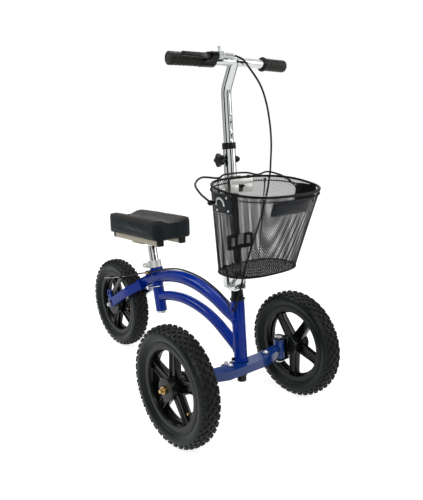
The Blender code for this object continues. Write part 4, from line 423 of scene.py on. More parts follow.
class Finish:
    # one material, whose nodes all come from node()
    def __init__(self, name, colour, metallic, roughness, coat=0.0, gloss=0.5):
        self.material = bpy.data.materials.new(name)
        self.material.use_nodes = True
        self.tree = self.material.node_tree
        self.shader = self.tree.nodes["Principled BSDF"]
        sockets = ("Base Color", "Metallic", "Roughness", "Coat Weight", "Specular IOR Level")
        for socket, value in zip(sockets, ((*colour, 1), metallic, roughness, coat, gloss)):
            self.shader.inputs[socket].default_value = value

    def link(self, socket, value):
        # a socket fed by a signal, or set to a plain value
        if isinstance(value, Signal):
            self.tree.links.new(value.socket, socket)
        else:
            socket.default_value = value

    def node(self, kind, settings=None, values=None, output=0):
        # a new node with these settings and inputs, as the signal of one of its outputs
        made = self.tree.nodes.new(kind)
        for key, value in (settings or {}).items():
            setattr(made, key, value)
        for key, value in (values or {}).items():
            self.link(made.inputs[key], value)
        return Signal(self, made.outputs[output])

    def spot(self, scale=(1, 1, 1), turn=(0, 0, 0)):
        # the place on the piece, turned and scaled
        where = self.node("ShaderNodeTexCoord", output="Object")
        return self.node("ShaderNodeMapping", values={"Vector": where, "Rotation": turn, "Scale": scale})

    def noise(self, scale, detail=2.0, stretch=(1, 1, 1)):
        # clouds from 0 to 1 at this scale
        values = {"Vector": self.spot(stretch), "Scale": scale, "Detail": detail}
        return self.node("ShaderNodeTexNoise", values=values)

    def blend(self, share, first, second):
        # the first colour where share is 0 and the second where it is 1
        first, second = (c if isinstance(c, Signal) else (*c, 1) for c in (first, second))
        return self.node("ShaderNodeMix", {"data_type": "RGBA"}, {0: share, 6: first, 7: second}, output=2)

    def attribute(self, name):
        # a share that is stored on the mesh's points
        return self.node("ShaderNodeAttribute", {"attribute_name": name}, output="Fac")

    def axis(self, index, scale=(1, 1, 1), turn=(0, 0, 0)):
        # one coordinate of the place
        return self.node("ShaderNodeSeparateXYZ", values={0: self.spot(scale, turn)}, output=index)

    def feed(self, **values):
        # signals or values for the shader's own inputs
        names = {"colour": "Base Color", "metallic": "Metallic", "roughness": "Roughness",
                 "coat": "Coat Weight"}
        for key, value in values.items():
            self.link(self.shader.inputs[names[key]], value)
        return self

    def relief(self, height, depth):
        # a bump of this depth where the height is 1
        bump = self.node("ShaderNodeBump", values={"Height": height, "Distance": depth, "Strength": 1.0})
        self.link(self.shader.inputs["Normal"], bump)
        return self


def grained(name, dark, light, metallic, roughness, spread, cloud, grain, depth, coat=0.0, gloss=0.5,
            stretch=(1, 1, 1)):
    # two shades of one colour in clouds, with uneven gloss and a fine grain in the surface
    made = Finish(name, light, metallic, roughness, coat, gloss)
    made.feed(colour=made.blend(made.noise(cloud, 4.0), dark, light))
    made.feed(roughness=made.noise(cloud * 3, 3.0, stretch) * spread + (roughness - spread / 2))
    return made.relief(made.noise(grain, 2.0, stretch), depth)


finishRows = {  # material, dark, light, metallic, roughness and spread, clouds, grain and depth, coat, gloss
    "blue": ("bluePaint", (0.0003, 0.015, 0.17), (0.0006, 0.027, 0.30), 0.0, 0.16, 0.06, 14, 420, 0.00004,
             0.18, 0.08),
    # the beam's copy of the blue paint is greyer, a painted reflection of light on its faces
    "beamBluePaintedReflection": ("beamPaintPaintedReflection", (0.0015, 0.020, 0.12), (0.003, 0.036, 0.19), 0.0, 0.24, 0.08, 20, 420, 0.00004,
                 0.35, 0.25),
    "black": ("blackPaint", (0.0015, 0.0018, 0.002), (0.004, 0.0045, 0.0045), 0.0, 0.24, 0.1, 40, 700,
              0.00004, 0.10, 0.15),
    "rimBlack": ("rimBlack", (0.0012, 0.0014, 0.0016), (0.003, 0.0034, 0.0036), 0.0, 0.20, 0.1, 30, 500,
                 0.00004, 0.10, 0.12),
    "rimGrey": ("rimGrey", (0.0045, 0.0055, 0.0055), (0.010, 0.012, 0.0115), 0.0, 0.38, 0.1, 50, 900, 0.00005,
                0.0, 0.22),
    "chrome": ("chromePlate", (0.50, 0.52, 0.52), (0.60, 0.61, 0.61), 1.0, 0.07, 0.05, 20, 300, 0.00001),
    "satin": ("satinChrome", (0.56, 0.57, 0.54), (0.72, 0.73, 0.69), 0.45, 0.36, 0.14, 60, 700, 0.00003),
    "zinc": ("zincPlate", (0.34, 0.36, 0.34), (0.52, 0.54, 0.50), 1.0, 0.36, 0.16, 90, 900, 0.00004),
    "steel": ("brightSteel", (0.46, 0.48, 0.49), (0.70, 0.72, 0.72), 0.85, 0.22, 0.12, 80, 800, 0.00004),
    "brass": ("yellowZinc", (0.36, 0.22, 0.07), (0.62, 0.45, 0.19), 1.0, 0.26, 0.14, 160, 900, 0.00004),
    "champagne": ("champagneSteel", (0.22, 0.20, 0.15), (0.36, 0.33, 0.26), 1.0, 0.32, 0.12, 40, 700, 0.00004,
                  0.0, 0.5, (1, 0.1, 1)),
    "plastic": ("blackPlastic", (0.0016, 0.0022, 0.002), (0.005, 0.006, 0.0055), 0.0, 0.36, 0.12, 60, 1400,
                0.00006, 0.0, 0.18),
    "rubberBoot": ("bootRubber", (0.002, 0.003, 0.0026), (0.005, 0.0068, 0.006), 0.0, 0.42, 0.12, 60, 900,
                   0.00006, 0.0, 0.18),
    "mesh": ("meshCoat", (0.001, 0.001, 0.0012), (0.0028, 0.0028, 0.0032), 0.0, 0.36, 0.1, 60, 900, 0.00003,
             0.0, 0.12),
    "plate": ("plateCoat", (0.0008, 0.002, 0.004), (0.0025, 0.005, 0.009), 0.0, 0.30, 0.1, 30, 700, 0.00004,
              0.0, 0.16),
    "cable": ("cableSleeve", (0.0016, 0.0018, 0.0018), (0.0042, 0.0046, 0.0046), 0.0, 0.32, 0.08, 80, 900,
              0.00003, 0.0, 0.2),
}
finishes = {key: grained(*row) for key, row in finishRows.items()}


def tyreRubber():
    # charcoal walls that turn brown and duller on the tread, whose share is the crown attribute
    made = Finish("tyreRubber", (0.02, 0.02, 0.02), 0.0, 0.6, gloss=0.16)
    crown = made.attribute("crown")
    dust = made.noise(38, 5.0)
    wall = made.blend(dust, (0.0026, 0.0048, 0.0046), (0.0070, 0.0110, 0.0100))
    tread = made.blend(dust, (0.0028, 0.0027, 0.0027), (0.0100, 0.0088, 0.0082))
    made.feed(colour=made.blend(crown, wall, tread), roughness=0.30 + crown * 0.20 + dust * 0.10)
    return made.relief(made.noise(700, 3.0) + made.noise(120, 2.0) * 0.6, 0.00012)


def gripRubber():
    # two shades of charcoal in clouds, duller where paler
    made = Finish("gripRubber", (0.02, 0.02, 0.02), 0.0, 0.55, gloss=0.2)
    dust = made.noise(45, 4.0)
    made.feed(colour=made.blend(dust, (0.006, 0.0075, 0.0055), (0.016, 0.018, 0.0125)),
              roughness=0.42 + dust * 0.16)
    return made.relief(made.noise(1100, 2.0), 0.00006)


def vinylWeave():
    # threads crossing at right angles, painted paler and browner on the top as a sheen of light, whose share is
    # the top attribute
    made = Finish("padVinyl", (0.02, 0.02, 0.02), 0.0, 0.5, gloss=0.13)
    top = made.attribute("top")
    dust = made.noise(22, 5.0)
    pitch = 2 * math.pi / 0.0013
    warp = (made.axis(0) * pitch).wave()
    weft = ((made.axis(1) + made.axis(2)) * pitch).wave()
    threads = warp * weft * 0.5 + 0.5
    side = made.blend(threads, (0.0010, 0.0034, 0.0058), (0.0040, 0.0100, 0.0128))
    # the top's paler, browner colour is a painted sheen of light on the top face
    face = made.blend(dust * 0.7 + threads * 0.3, (0.013, 0.0118, 0.0108), (0.030, 0.0272, 0.0248))
    made.feed(colour=made.blend(top, side, face), roughness=0.40 + top * 0.08 + dust * 0.10)
    made.shader.inputs["Sheen Weight"].default_value = 0.06
    made.shader.inputs["Sheen Roughness"].default_value = 0.4
    return made.relief(threads + dust * 0.8, 0.00018)


finishes["tyre"] = tyreRubber()
finishes["grip"] = gripRubber()
finishes["vinyl"] = vinylWeave()
finishes = {key: made.material for key, made in finishes.items()}
print("finishes made:", len(finishes))


# Camera, floor and lamps, with the view's place, directions and lens fitted to the photograph

view = {"place": (-0.9254, -1.3334, 0.8065), "right": (0.7788, -0.6273, 0.0), "up": (0.1495, 0.1856, 0.9712),
        "lens": 39.773}
right, up = unit(np.array(view["right"])), unit(np.array(view["up"]))
cameraPlace = np.eye(4)
cameraPlace[:3, :3] = np.stack((right, up, np.cross(right, up)), axis=-1)
cameraPlace[:3, 3] = view["place"]
camera = linked("camera", bpy.data.cameras.new("camera"))
camera.data.sensor_width = 36
camera.data.lens = view["lens"]
camera.matrix_world = Matrix(cameraPlace)
bpy.context.scene.camera = camera

stage = {"floorRadius": 12.0, "floorShade": 0.42, "floorLift": 0.80, "sky": 0.50}
lamps = (  # place, target, width, watts
    ((-1.9, -2.0, 2.4), (0.0, -0.1, 0.4), 1.1, 46),
    ((1.9, -1.9, 1.5), (0.0, -0.1, 0.4), 1.2, 18),
    ((-1.6, 1.6, 2.0), (0.0, 0.1, 0.4), 1.0, 20),
    ((0.6, 0.4, 2.9), (0.0, 0.0, 0.3), 1.4, 26),
)
for i, (spot, target, width, watts) in enumerate(lamps):
    lamp = linked(f"lamp{i}", bpy.data.lights.new(f"lamp{i}", "AREA"))
    lamp.data.shape, lamp.data.size, lamp.data.energy = "SQUARE", width, watts
    aim = (Vector(target) - Vector(spot)).to_track_quat("-Z", "Y")
    lamp.matrix_world = Matrix.Translation(spot) @ aim.to_matrix().to_4x4()


def backdropShare(tree):  # one for what the camera, a mirror or a glass looks at
    rays = tree.nodes.new("ShaderNodeLightPath")
    share = rays.outputs["Is Camera Ray"]
    for ray in ("Is Glossy Ray", "Is Transmission Ray"):
        larger = tree.nodes.new("ShaderNodeMath")
        larger.operation = "MAXIMUM"
        tree.links.new(share, larger.inputs[0])
        tree.links.new(rays.outputs[ray], larger.inputs[1])
        share = larger.outputs[0]
    return share


world = bpy.data.worlds.new("studio")
world.use_nodes = True
bpy.context.scene.world = world
sky = world.node_tree.nodes["Background"]
sky.inputs["Color"].default_value = (1, 1, 1, 1)
level = world.node_tree.nodes.new("ShaderNodeMapRange")
world.node_tree.links.new(backdropShare(world.node_tree), level.inputs["Value"])
level.inputs["To Min"].default_value = stage["sky"]
level.inputs["To Max"].default_value = 1.0
world.node_tree.links.new(level.outputs[0], sky.inputs["Strength"])

floorFinish = Finish("paleFloor", (stage["floorShade"],) * 3, 0.0, 0.9)
floorFinish.shader.inputs["Specular IOR Level"].default_value = 0.0
floorFinish.shader.inputs["Emission Color"].default_value = (1, 1, 1, 1)
lift = Signal(floorFinish, backdropShare(floorFinish.tree)) * stage["floorLift"]
floorFinish.link(floorFinish.shader.inputs["Emission Strength"], lift)


def sheetOf(name, corners, finish):
    # a flat piece of the studio with these corners
    mesh = meshFrom(name, (corners, [np.arange(len(corners))[None]]))
    mesh.materials.append(finish.material)
    return linked(name, mesh)


floor = sheetOf("floor", np.column_stack((circle(stage["floorRadius"], 96), np.full(96, -0.0002))), floorFinish)
bpy.context.scene.view_settings.view_transform = "Standard"

# upright dark cards that only mirrors see, each placed by its angle from the view's heading and its width
cards = {"reach": 2.6, "height": 3.0,
         "places": ((-156, 0.95), (132, 1.40), (-112, 0.80), (-46, 1.70), (40, 1.50), (86, 0.60))}
cardFinish = Finish("darkCard", (0.02, 0.02, 0.022), 0.0, 0.9, gloss=0.0)
cardFinish.feed(colour=cardFinish.blend(cardFinish.noise(3.0), (0.015, 0.015, 0.017), (0.03, 0.028, 0.028)))
viewTurn = math.degrees(math.atan2(0.7564, 0.6092))
for i, (turnBy, width) in enumerate(cards["places"]):
    a = math.radians(viewTurn + turnBy)
    middle = np.array((math.cos(a), math.sin(a), 0)) * cards["reach"]
    along = np.array((-math.sin(a), math.cos(a), 0)) * width / 2
    top = (0, 0, cards["height"])
    corners = np.array([middle - along, middle + along, middle + along + top, middle - along + top])
    card = sheetOf(f"card{i}", corners, cardFinish)
    card.visible_camera = card.visible_diffuse = card.visible_shadow = card.visible_transmission = False
print("camera, floor, lamps and cards set")

# Frames that the parts are measured in
axle = {"front": (-0.308, 0.155), "rear": (0.334, 0.155)}  # y and z
seat = {"foot": (0, 0.067, 0.190), "lean": 13.5, "padHeight": 0.437, "padLean": 2.75}
steering = leaning((0, -0.3115826, 0.1553538), 5.64)
folding = steering @ shift(0, 0, 0.2211)  # column heights are from the fold pin
seating = leaning(seat["foot"], seat["lean"])
padRise = (seat["padHeight"] - seat["foot"][2]) / math.cos(math.radians(seat["lean"]))  # along the leaning post
cushionBase = leaning((seating @ (0, 0, padRise, 1))[:3], seat["padLean"])


# Wheels

tyre = {"knobs": 40, "height": 0.0041, "rolling": 0.152, "steps": 120}
crownFrom = {"radius": 0.1415, "side": 0.0262, "fade": 0.008}  # where the tread's brown begins
wall = np.array(  # half of the tyre's outline from the middle of the tread, as (radius, x)
    [(0.1508, 0.0), (0.1506, 0.007), (0.1494, 0.0135), (0.1466, 0.0195), (0.1420, 0.0240), (0.1360, 0.0268),
     (0.1295, 0.0272), (0.1235, 0.0256), (0.1190, 0.0230), (0.1165, 0.0212), (0.1158, 0.0219), (0.1146, 0.0221),
     (0.1136, 0.0209), (0.1120, 0.0196), (0.1060, 0.0162), (0.1020, 0.0155)]
)
wallLine = smoothPath(wall, 4)
wallRun = np.concatenate(([0], np.cumsum(np.linalg.norm(np.diff(wallLine, axis=0), axis=1))))
knobRows = (  # distance from the middle, half width, half length, share of the height, phase, both sides
    (0.0, 0.0043, 0.0062, 1.0, 0.0, False),
    (0.0102, 0.0040, 0.0055, 1.0, 0.5, True),
    (0.0188, 0.0042, 0.0064, 0.95, 0.0, True),
    (0.0262, 0.0036, 0.0044, 0.72, 0.5, True),
)


def knobs(distance, halfWidth, halfLength, share, phase, side):
    # an eight-cornered block per pitch: its point (u, v, w) is u along the turn, v across the tread and w out
    corners = filleted([(1, 1), (-1, 1), (-1, -1), (1, -1)], 0.45, 2)
    rings = [(1.16, -0.25), (1.0, 0.06), (0.93, 0.80), (0.78, 1.0), (0.0, 1.0)]
    u = np.stack([corners[:, 0] * halfLength * s for s, _ in rings])
    v = np.stack([corners[:, 1] * halfWidth * s for s, _ in rings])
    w = np.stack([np.full(8, h) for _, h in rings]) * tyre["height"] * share
    s = np.abs(distance + v)
    mirror = np.where(distance + v < 0, -1, 1) * side
    r, x = (np.interp(s, wallRun, wallLine[:, i]) for i in (0, 1))
    slope = np.stack([np.gradient(wallLine[:, i], wallRun) for i in (0, 1)])
    out = unit(np.stack([np.interp(s, wallRun, slope[1]), -np.interp(s, wallRun, slope[0])], axis=-1))
    r, x = r + out[..., 0] * w, (x + out[..., 1] * w) * mirror
    angle = 2 * np.pi * (np.arange(tyre["knobs"]) + phase)[:, None, None] / tyre["knobs"] + u / tyre["rolling"]
    return bundle(xyz(x, r * np.cos(angle), r * np.sin(angle)))


carcass = np.vstack((wallLine, wallLine[::-1] * (1, -1)))[: 2 * len(wallLine) - 1]
tyreShape = joined(
    latheX(carcass, steps=tyre["steps"], closed=True),
    *(knobs(*row[:5], side) for row in knobRows for side in ((1, -1) if row[5] else (1,))),
)

rim = {"spokes": 5, "spokeHalf": 0.0100, "widthIn": 0.0143, "widthOut": 0.0113, "steps": 96}


def spoke(turn):
    # a channel section carried out from the hub: its point (u, x) at radius r goes to
    # (x, r cos turn - u sin turn, r sin turn + u cos turn), and u widens into the barrel
    section = np.array([(-1, -1), (-1, 1), (-0.76, 1), (-0.60, 0.52), (0.60, 0.52), (0.76, 1), (1, 1), (1, -1),
                        (0.76, -1), (0.60, -0.52), (-0.60, -0.52), (-0.76, -1)])
    section = filleted(section, 0.07, 3)
    r = np.array([0.016, 0.024, 0.040, 0.060, 0.078, 0.087, 0.0925, 0.0965])[:, None]
    widths = [rim["widthIn"], *(rim["widthOut"] * growth for growth in (1, 1.04, 1.18, 1.42))]
    u = section[:, 0] * np.interp(r, [0.016, 0.078, 0.087, 0.0925, 0.0965], widths)
    c, s = math.cos(turn), math.sin(turn)
    return grid(xyz(section[:, 1] * rim["spokeHalf"], r * c - u * s, r * s + u * c), caps=True)


def rimShape(turnBack):
    # a barrel, a thin rib round it, and spokes over one turn, the first leaning back from upright by turnBack
    half = [(0.0955, 0.0118), (0.0962, 0.0125), (0.0962, 0.0150), (0.0970, 0.0158), (0.0972, 0.0168),
            (0.1000, 0.0166), (0.0985, 0.0100)]
    barrel = filleted(half + [(r, -x) for r, x in reversed(half)], 0.0008, 3)
    turns = 2 * np.pi * np.arange(rim["spokes"]) / rim["spokes"] + np.pi / 2 - math.radians(turnBack)
    rib = [(0.0905, -0.0012), (0.0960, -0.0012), (0.0960, 0.0012), (0.0905, 0.0012)]
    return joined(latheX(barrel, steps=rim["steps"], closed=True), *(spoke(turn) for turn in turns),
                  latheX(filleted(rib, 0.0005, 3), steps=rim["steps"], closed=True))


def flangeShape(side):
    # the ring of the rim's edge on one side
    ring = [(0.0968, 0.0152), (0.0970, 0.0176), (0.0985, 0.0184), (0.1090, 0.0186), (0.1108, 0.0180),
            (0.1110, 0.0168), (0.1010, 0.0160)]
    return latheX([(r, side * x) for r, x in filleted(ring, 0.0006, 4)], steps=rim["steps"], closed=True)


def hubShape(low, high, face=0.030):
    # a bored spool from low to high along X, with a flange of radius face at both ends
    disc = [(0.0064, low), (0.0105, low), (0.0115, low - 0.0006), (face - 0.0015, low), (face, low + 0.0015),
            (face, low + 0.0060),
            (0.0245, low + 0.0085), (0.0235, 0.0), (0.0245, high - 0.0085), (face, high - 0.0060),
            (face, high - 0.0015),
            (face - 0.0015, high), (0.0115, high), (0.0105, high), (0.0064, high)]
    return latheX(filleted(disc, 0.0005, 3), steps=64, closed=True)


def valveShape(turn):
    # a brass stem through the barrel, leaning out to one side
    line = np.array([(-0.0040, 0.0955), (-0.0075, 0.0888), (-0.0165, 0.0868)])
    path = np.column_stack((line[:, 0], line[:, 1] * math.cos(turn), line[:, 1] * math.sin(turn)))
    thick = [0.0034, 0.0030, 0.0024]
    stem = sweep(path, np.stack([circle(t, 16) for t in thick]), (1, 0.2, 0.1))
    cap = bar(path[2], path[2] + unit(path[2] - path[1]) * 0.0055, 0.0031, 12)
    return joined(stem, cap)


wheelSet = (  # name, node, centre, side, hub ends, turn of the spokes and of the valve in degrees
    ("leftFront", "left_front", (0.214, *axle["front"]), 1, (-0.030, 0.030), 39, 159),
    ("rightFront", "right_front", (-0.214, *axle["front"]), -1, (-0.030, 0.030), 0, 203),
    ("rear", "rear", (0, *axle["rear"]), -1, (-0.0157, 0.032), 20, 178),
)
for name, node, centre, side, hub, spokesTurn, valveTurn in wheelSet:
    body = f"{node}_wheel"
    here = shift(*centre)
    piece = makePiece(f"{name}Tyre", place(tyreShape, here), "tyre", body, f"{node}_tyre", angle=32)
    local = np.empty(len(piece.data.vertices) * 3, np.float32)
    piece.data.vertices.foreach_get("co", local)
    local = local.reshape(-1, 3) - np.array(centre)
    radius = np.hypot(local[:, 1], local[:, 2])
    crown = np.clip((radius - crownFrom["radius"]) / crownFrom["fade"], 0, 1)
    crown *= np.clip((crownFrom["side"] - np.abs(local[:, 0])) / crownFrom["fade"], 0, 1)
    piece.data.attributes.new("crown", "FLOAT", "POINT").data.foreach_set("value", crown.astype(np.float32))
    makePiece(f"{name}Rim", place(rimShape(spokesTurn), here), "rimBlack", body, f"{node}_rim", angle=30)
    makePiece(f"{name}Flange", place(joined(flangeShape(1), flangeShape(-1)), here), "rimGrey", body)
    makePiece(f"{name}Hub", place(hubShape(*hub), here), "rimGrey", body)
    mirror = np.diag((-side, 1, 1, 1.0)) if side > 0 else np.eye(4)
    valve = outward(place(valveShape(math.radians(valveTurn)), here @ mirror))
    makePiece(f"{name}Valve", valve, "brass", body)
print("wheels made")


# Frame

rails = {
    "upper": ("upper_rail", 0.019, [
        (-0.3025, 0.2756), (-0.2925, 0.2790), (-0.2541, 0.2921), (-0.2116, 0.3096), (-0.1720, 0.3213),
        (-0.1307, 0.3298),
        (-0.0927, 0.3337), (-0.0531, 0.3341), (-0.0150, 0.3300), (0.0202, 0.3238), (0.0648, 0.3125),
        (0.1237, 0.2897),
        (0.1600, 0.2712), (0.1942, 0.2534)]),
    "lower": ("lower_rail", 0.015, [
        (-0.3095, 0.1882), (-0.3005, 0.1930), (-0.2541, 0.2184), (-0.2111, 0.2408), (-0.1700, 0.2555),
        (-0.1293, 0.2641),
        (-0.0909, 0.2685), (-0.0509, 0.2691), (-0.0150, 0.2656), (0.0231, 0.2592), (0.0700, 0.2457)]),
}
for name, (node, radius, line) in rails.items():
    path = smoothPath([(0, y, z) for y, z in line], 5)
    piece = makePiece(f"{name}Rail", sweep(path, circle(radius, 40)), "blue", "frame", node, angle=50)
    if name == "upper":  # the seat post slides through it
        bored(piece, place(bar((0, 0, -0.05), (0, 0, 0.25), 0.0160), seating))


def ringLathe(inner, outer, low, high, rim=0.0006, steps=64):
    # a tube about Z between two radii and two heights
    return lathe(filleted([(inner, low), (outer, low), (outer, high), (inner, high)], rim, 4), steps, True)


headTube = {"radius": 0.018, "bore": 0.0155, "low": -0.017, "high": 0.1765}
guide = {"x": -0.0225, "z": 0.3095, "y": (-0.3035, -0.2915), "radius": 0.005, "bore": 0.0029}
guideWall = [(guide["bore"], guide["y"][0]), (guide["radius"], guide["y"][0]),
             (guide["radius"], guide["y"][1]), (guide["bore"], guide["y"][1])]
guideRing = lathe(filleted(guideWall, 0.0006, 3), 32, True)
headShape = joined(
    place(ringLathe(headTube["bore"], headTube["radius"], headTube["low"], headTube["high"]), steering),
    outward(place(guideRing, shift(guide["x"], 0, guide["z"]) @ alongY)),
)
makePiece("headTube", headShape, "blue", "frame", "head_tube")
seatTube = {"radius": 0.0175, "bore": 0.0147, "low": 0.0072, "high": 0.1666}
seatWall = place(ringLathe(seatTube["bore"], seatTube["radius"], seatTube["low"], seatTube["high"]), seating)
stopOutline = filleted([(-0.0370, 0.1278), (-0.0370, 0.1418), (-0.0163, 0.1418), (-0.0163, 0.1278)], 0.003, 4)
stopBlock = outward(place(prism(stopOutline, 0.001, 0.004), seating @ alongY))
earOutline = filleted([(0.0158, 0.1365), (0.0158, 0.1485), (0.0235, 0.1475), (0.0235, 0.1375)], 0.002, 4)
earBlock = outward(place(prism(earOutline, -0.007, -0.003), seating @ alongY))
makePiece("seatTube", joined(seatWall, stopBlock, earBlock), "blue", "frame", "seat_tube")


def beadLoop(foot, direction, radius, axisFoot, axis, axisRadius, sides=64):
    # where the tube's surface lines, run along its direction, meet the round tube they are welded to
    foot, direction, axisFoot, axis = (np.asarray(v, float) for v in (foot, direction, axisFoot, axis))
    direction, axis = unit(direction), unit(axis)
    across = unit(np.cross(direction, (1, 0.01, 0)))
    u, v = np.hsplit(circle(1, sides), 2)
    ring = foot + radius * (u * across + v * np.cross(direction, across))
    flatRun = direction - (direction @ axis) * axis
    flatRing = (ring - axisFoot) - ((ring - axisFoot) @ axis)[:, None] * axis
    a, b = flatRun @ flatRun, 2 * flatRing @ flatRun
    c = np.einsum("ij,ij->i", flatRing, flatRing) - axisRadius**2
    t = (-b - np.sqrt(np.maximum(b * b - 4 * a * c, 0))) / (2 * a)
    return ring + t[:, None] * direction


def bead(loop, width=0.0022):
    # a round bead along the loop, whose thickness swells and shrinks a little as a weld's does
    n = len(loop)
    whole, parts = np.arange(n + 1), np.arange(4 * n) / 4
    fine = np.stack([np.interp(parts, whole, np.append(loop[:, i], loop[0, i])) for i in range(3)], axis=-1)
    swell = 1 + 0.10 * np.sin(np.arange(4 * n) * 2 * np.pi / 8 + 1)
    centre = loop.mean(axis=0)
    side = unit(np.cross(loop[n // 4] - centre, loop[0] - centre))
    return sweep(fine, circle(width, 8)[None] * swell[:, None, None], side, closed=True)


welds = []
for _, radius, line in rails.values():
    foot, toward = (np.append(0, line[i]) for i in (2, 1))
    loop = beadLoop(foot, toward - foot, radius, steering[:3, 3], steering[:3, 2], headTube["radius"])
    welds.append(bead(loop))
foot, toward = (np.append(0, line[i]) for i in (-2, -1))  # the lower rail's other end
welds.append(bead(beadLoop(foot, toward - foot, radius, seating[:3, 3], seating[:3, 2], seatTube["radius"])))
beamBead = (steering @ np.vstack((circle(0.0193, 64).T, np.full(64, 0.0105), np.ones(64))))[:3].T
welds.append(bead(beamBead, 0.0020))
makePiece("frameWelds", joined(*welds), "blue", "frame")

arm = {"halfWidth": 0.0095, "halfHeight": 0.015, "corner": 0.0034, "inner": 0.0345, "plate": 0.005,
       "axleHole": 0.0063, "eyelet": (0.346, 0.193), "eyeletRadius": 0.0125, "eyeletHole": 0.0075}
for side, name in ((1, "left"), (-1, "right")):
    bend = filleted([(0.022, 0.150, 0.268), (0.044, 0.205, 0.234), (0.044, 0.300, 0.1758)], 0.020, 8,
                    closed=False)
    bend = bend[7:-7] * (side, 1, 1)
    tube = sweep(bend, boxOutline(arm["halfWidth"], arm["halfHeight"], arm["corner"]))
    near, far = side * arm["inner"], side * (arm["inner"] + arm["plate"])
    if side < 0:
        outline = linkOutline((0.3345, 0.1640), 0.0092, arm["eyelet"], arm["eyeletRadius"])
        eyelet = makePiece("rearEyelet", outward(place(prism(outline, near, far), alongX)), "blue", "frame")
        bored(eyelet, bar((near * 0.8, *arm["eyelet"]), (far * 1.2, *arm["eyelet"]), arm["eyeletHole"]))
    outline = linkOutline(axle["rear"], 0.013, (0.296, 0.1782), 0.0135)
    plate = outward(place(prism(outline, near, far), alongX))
    piece = makePiece(f"{name}RearArm", plate, "blue", "frame", f"{name}_rear_arm")
    bored(piece, bar((near * 0.8, *axle["rear"]), (far * 1.2, *axle["rear"]), arm["axleHole"]))
    makePiece(f"{name}RearTube", tube, "blue", "frame")
# the front beam wears the greyer copy of the blue paint, whose grey is a painted reflection
dress("front_beam", "beamBluePaintedReflection", 0.0012)


def domed(foot, radius, high):
    # a bolt's washer and its domed head, turned about the upright line through its foot
    arcTurn = np.linspace(0, np.pi / 2, 7)
    top = [(radius * math.cos(a), 0.0012 + high * math.sin(a)) for a in arcTurn]
    profile = [(0, -0.001), (radius * 1.25, -0.001), (radius * 1.25, 0.0009), (radius, 0.0012), *top[1:-1],
               (0, 0.0012 + high)]
    return place(lathe(profile, 24), shift(*foot))


beamBolts = [domed((-0.0478, -0.3241, 0.1668), 0.0058, 0.0048),
             domed((0.0811, -0.3242, 0.1668), 0.0064, 0.0046),
             domed((-0.0473, -0.3045, 0.1668), 0.0046, 0.0042)]
makePiece("beamBolts", joined(*beamBolts), "steel", "frame")
stopPin = place(bar((0, 0, 0), (0, 0, 0.0075), 0.0042, 20, 0.0012), shift(-0.0207, -0.3022, 0.1650))
makePiece("beamStop", stopPin, "black", "frame")
print("frame made")


# Steering head and folding joint

boot = {"foot": 0.1808, "high": 0.2030, "radius": 0.0168, "ribs": 4}
share = np.linspace(0, 1, 49)
wave = 0.0012 * np.cos(2 * np.pi * boot["ribs"] * share)
bellows = boot["radius"] - 0.0012 + wave + 0.0012 * (1 - share) ** 4
bootWall = np.column_stack((bellows, boot["foot"] + (boot["high"] - boot["foot"]) * share))
bootProfile = np.vstack(([(0.0115, boot["foot"])], bootWall, [(0.0115, boot["high"])]))
makePiece("headBoot", place(lathe(bootProfile, 64, True), steering), "rubberBoot", "steering", "headset_boot")
cupTop = [(0.0115, 0.1658), (0.0152, 0.1658), (0.0152, 0.1768), (0.0205, 0.1768), (0.0205, 0.1805),
          (0.0115, 0.1805)]
cupLow = [(0.0115, -0.0282), (0.0190, -0.0282), (0.0190, -0.0173), (0.0152, -0.0173), (0.0152, -0.0063),
          (0.0115, -0.0063)]
for name, node, profile in (("upperCup", "upper_headset_cup", cupTop),
                            ("lowerCup", "lower_headset_cup", cupLow)):
    makePiece(name, place(lathe(filleted(profile, 0.0007, 4), 64, True), steering), "black", "frame", node)
dress("steering_shaft", "black", 0.0005)
dress("pitman_arm", "black", 0.0007)


def stub(side, low, high, radius, rim=0.0005):
    # a round rod on a front axle's line, between two distances from the middle
    return bar((side * low, *axle["front"]), (side * high, *axle["front"]), radius, 24, rim)


for side, name in ((1, "left"), (-1, "right")):
    dress(f"{name}_tie_rod", "zinc", 0.0006)
    bored(dress(f"{name}_knuckle", "black", 0.0008), stub(side, 0.2525, 0.28, 0.009))
    stubEnd = joined(stub(side, 0.2515, 0.2572, 0.0058, 0.0006), stub(side, 0.2570, 0.2614, 0.0046, 0.0016))
    makePiece(f"{name}StubEnd", stubEnd, "brass", f"{name}_knuckle")
    dress(f"{name}_king_pin", "steel", 0.0008)
for node, finish, edge in (("fold_fork", "chrome", 0.0010), ("fold_tongue", "chrome", 0.0010),
                           ("fold_lever", "chrome", 0.0012), ("fold_pin", "steel", 0.0008)):
    dress(node, finish, edge)

# Column and stem

column = {"radius": 0.0159, "bore": 0.0131, "low": 0.0294, "high": 0.3609}
makePiece("columnTube", place(ringLathe(column["bore"], column["radius"], column["low"], column["high"]),
                              folding),
          "chrome", "column", "column_tube")
collar = [(0.0162, 0.3476), (0.0175, 0.3476), (0.0175, 0.3636), (0.0130, 0.3636), (0.0130, 0.3612),
          (0.0162, 0.3612)]
makePiece("columnCollar", place(lathe(filleted(collar, 0.0009, 4), 64, True), folding), "plastic", "column",
          "column_collar")

knob = {"radius": 0.0180, "depth": 0.0044, "lobes": 5, "height": 0.3215, "in": -0.028, "out": -0.042}


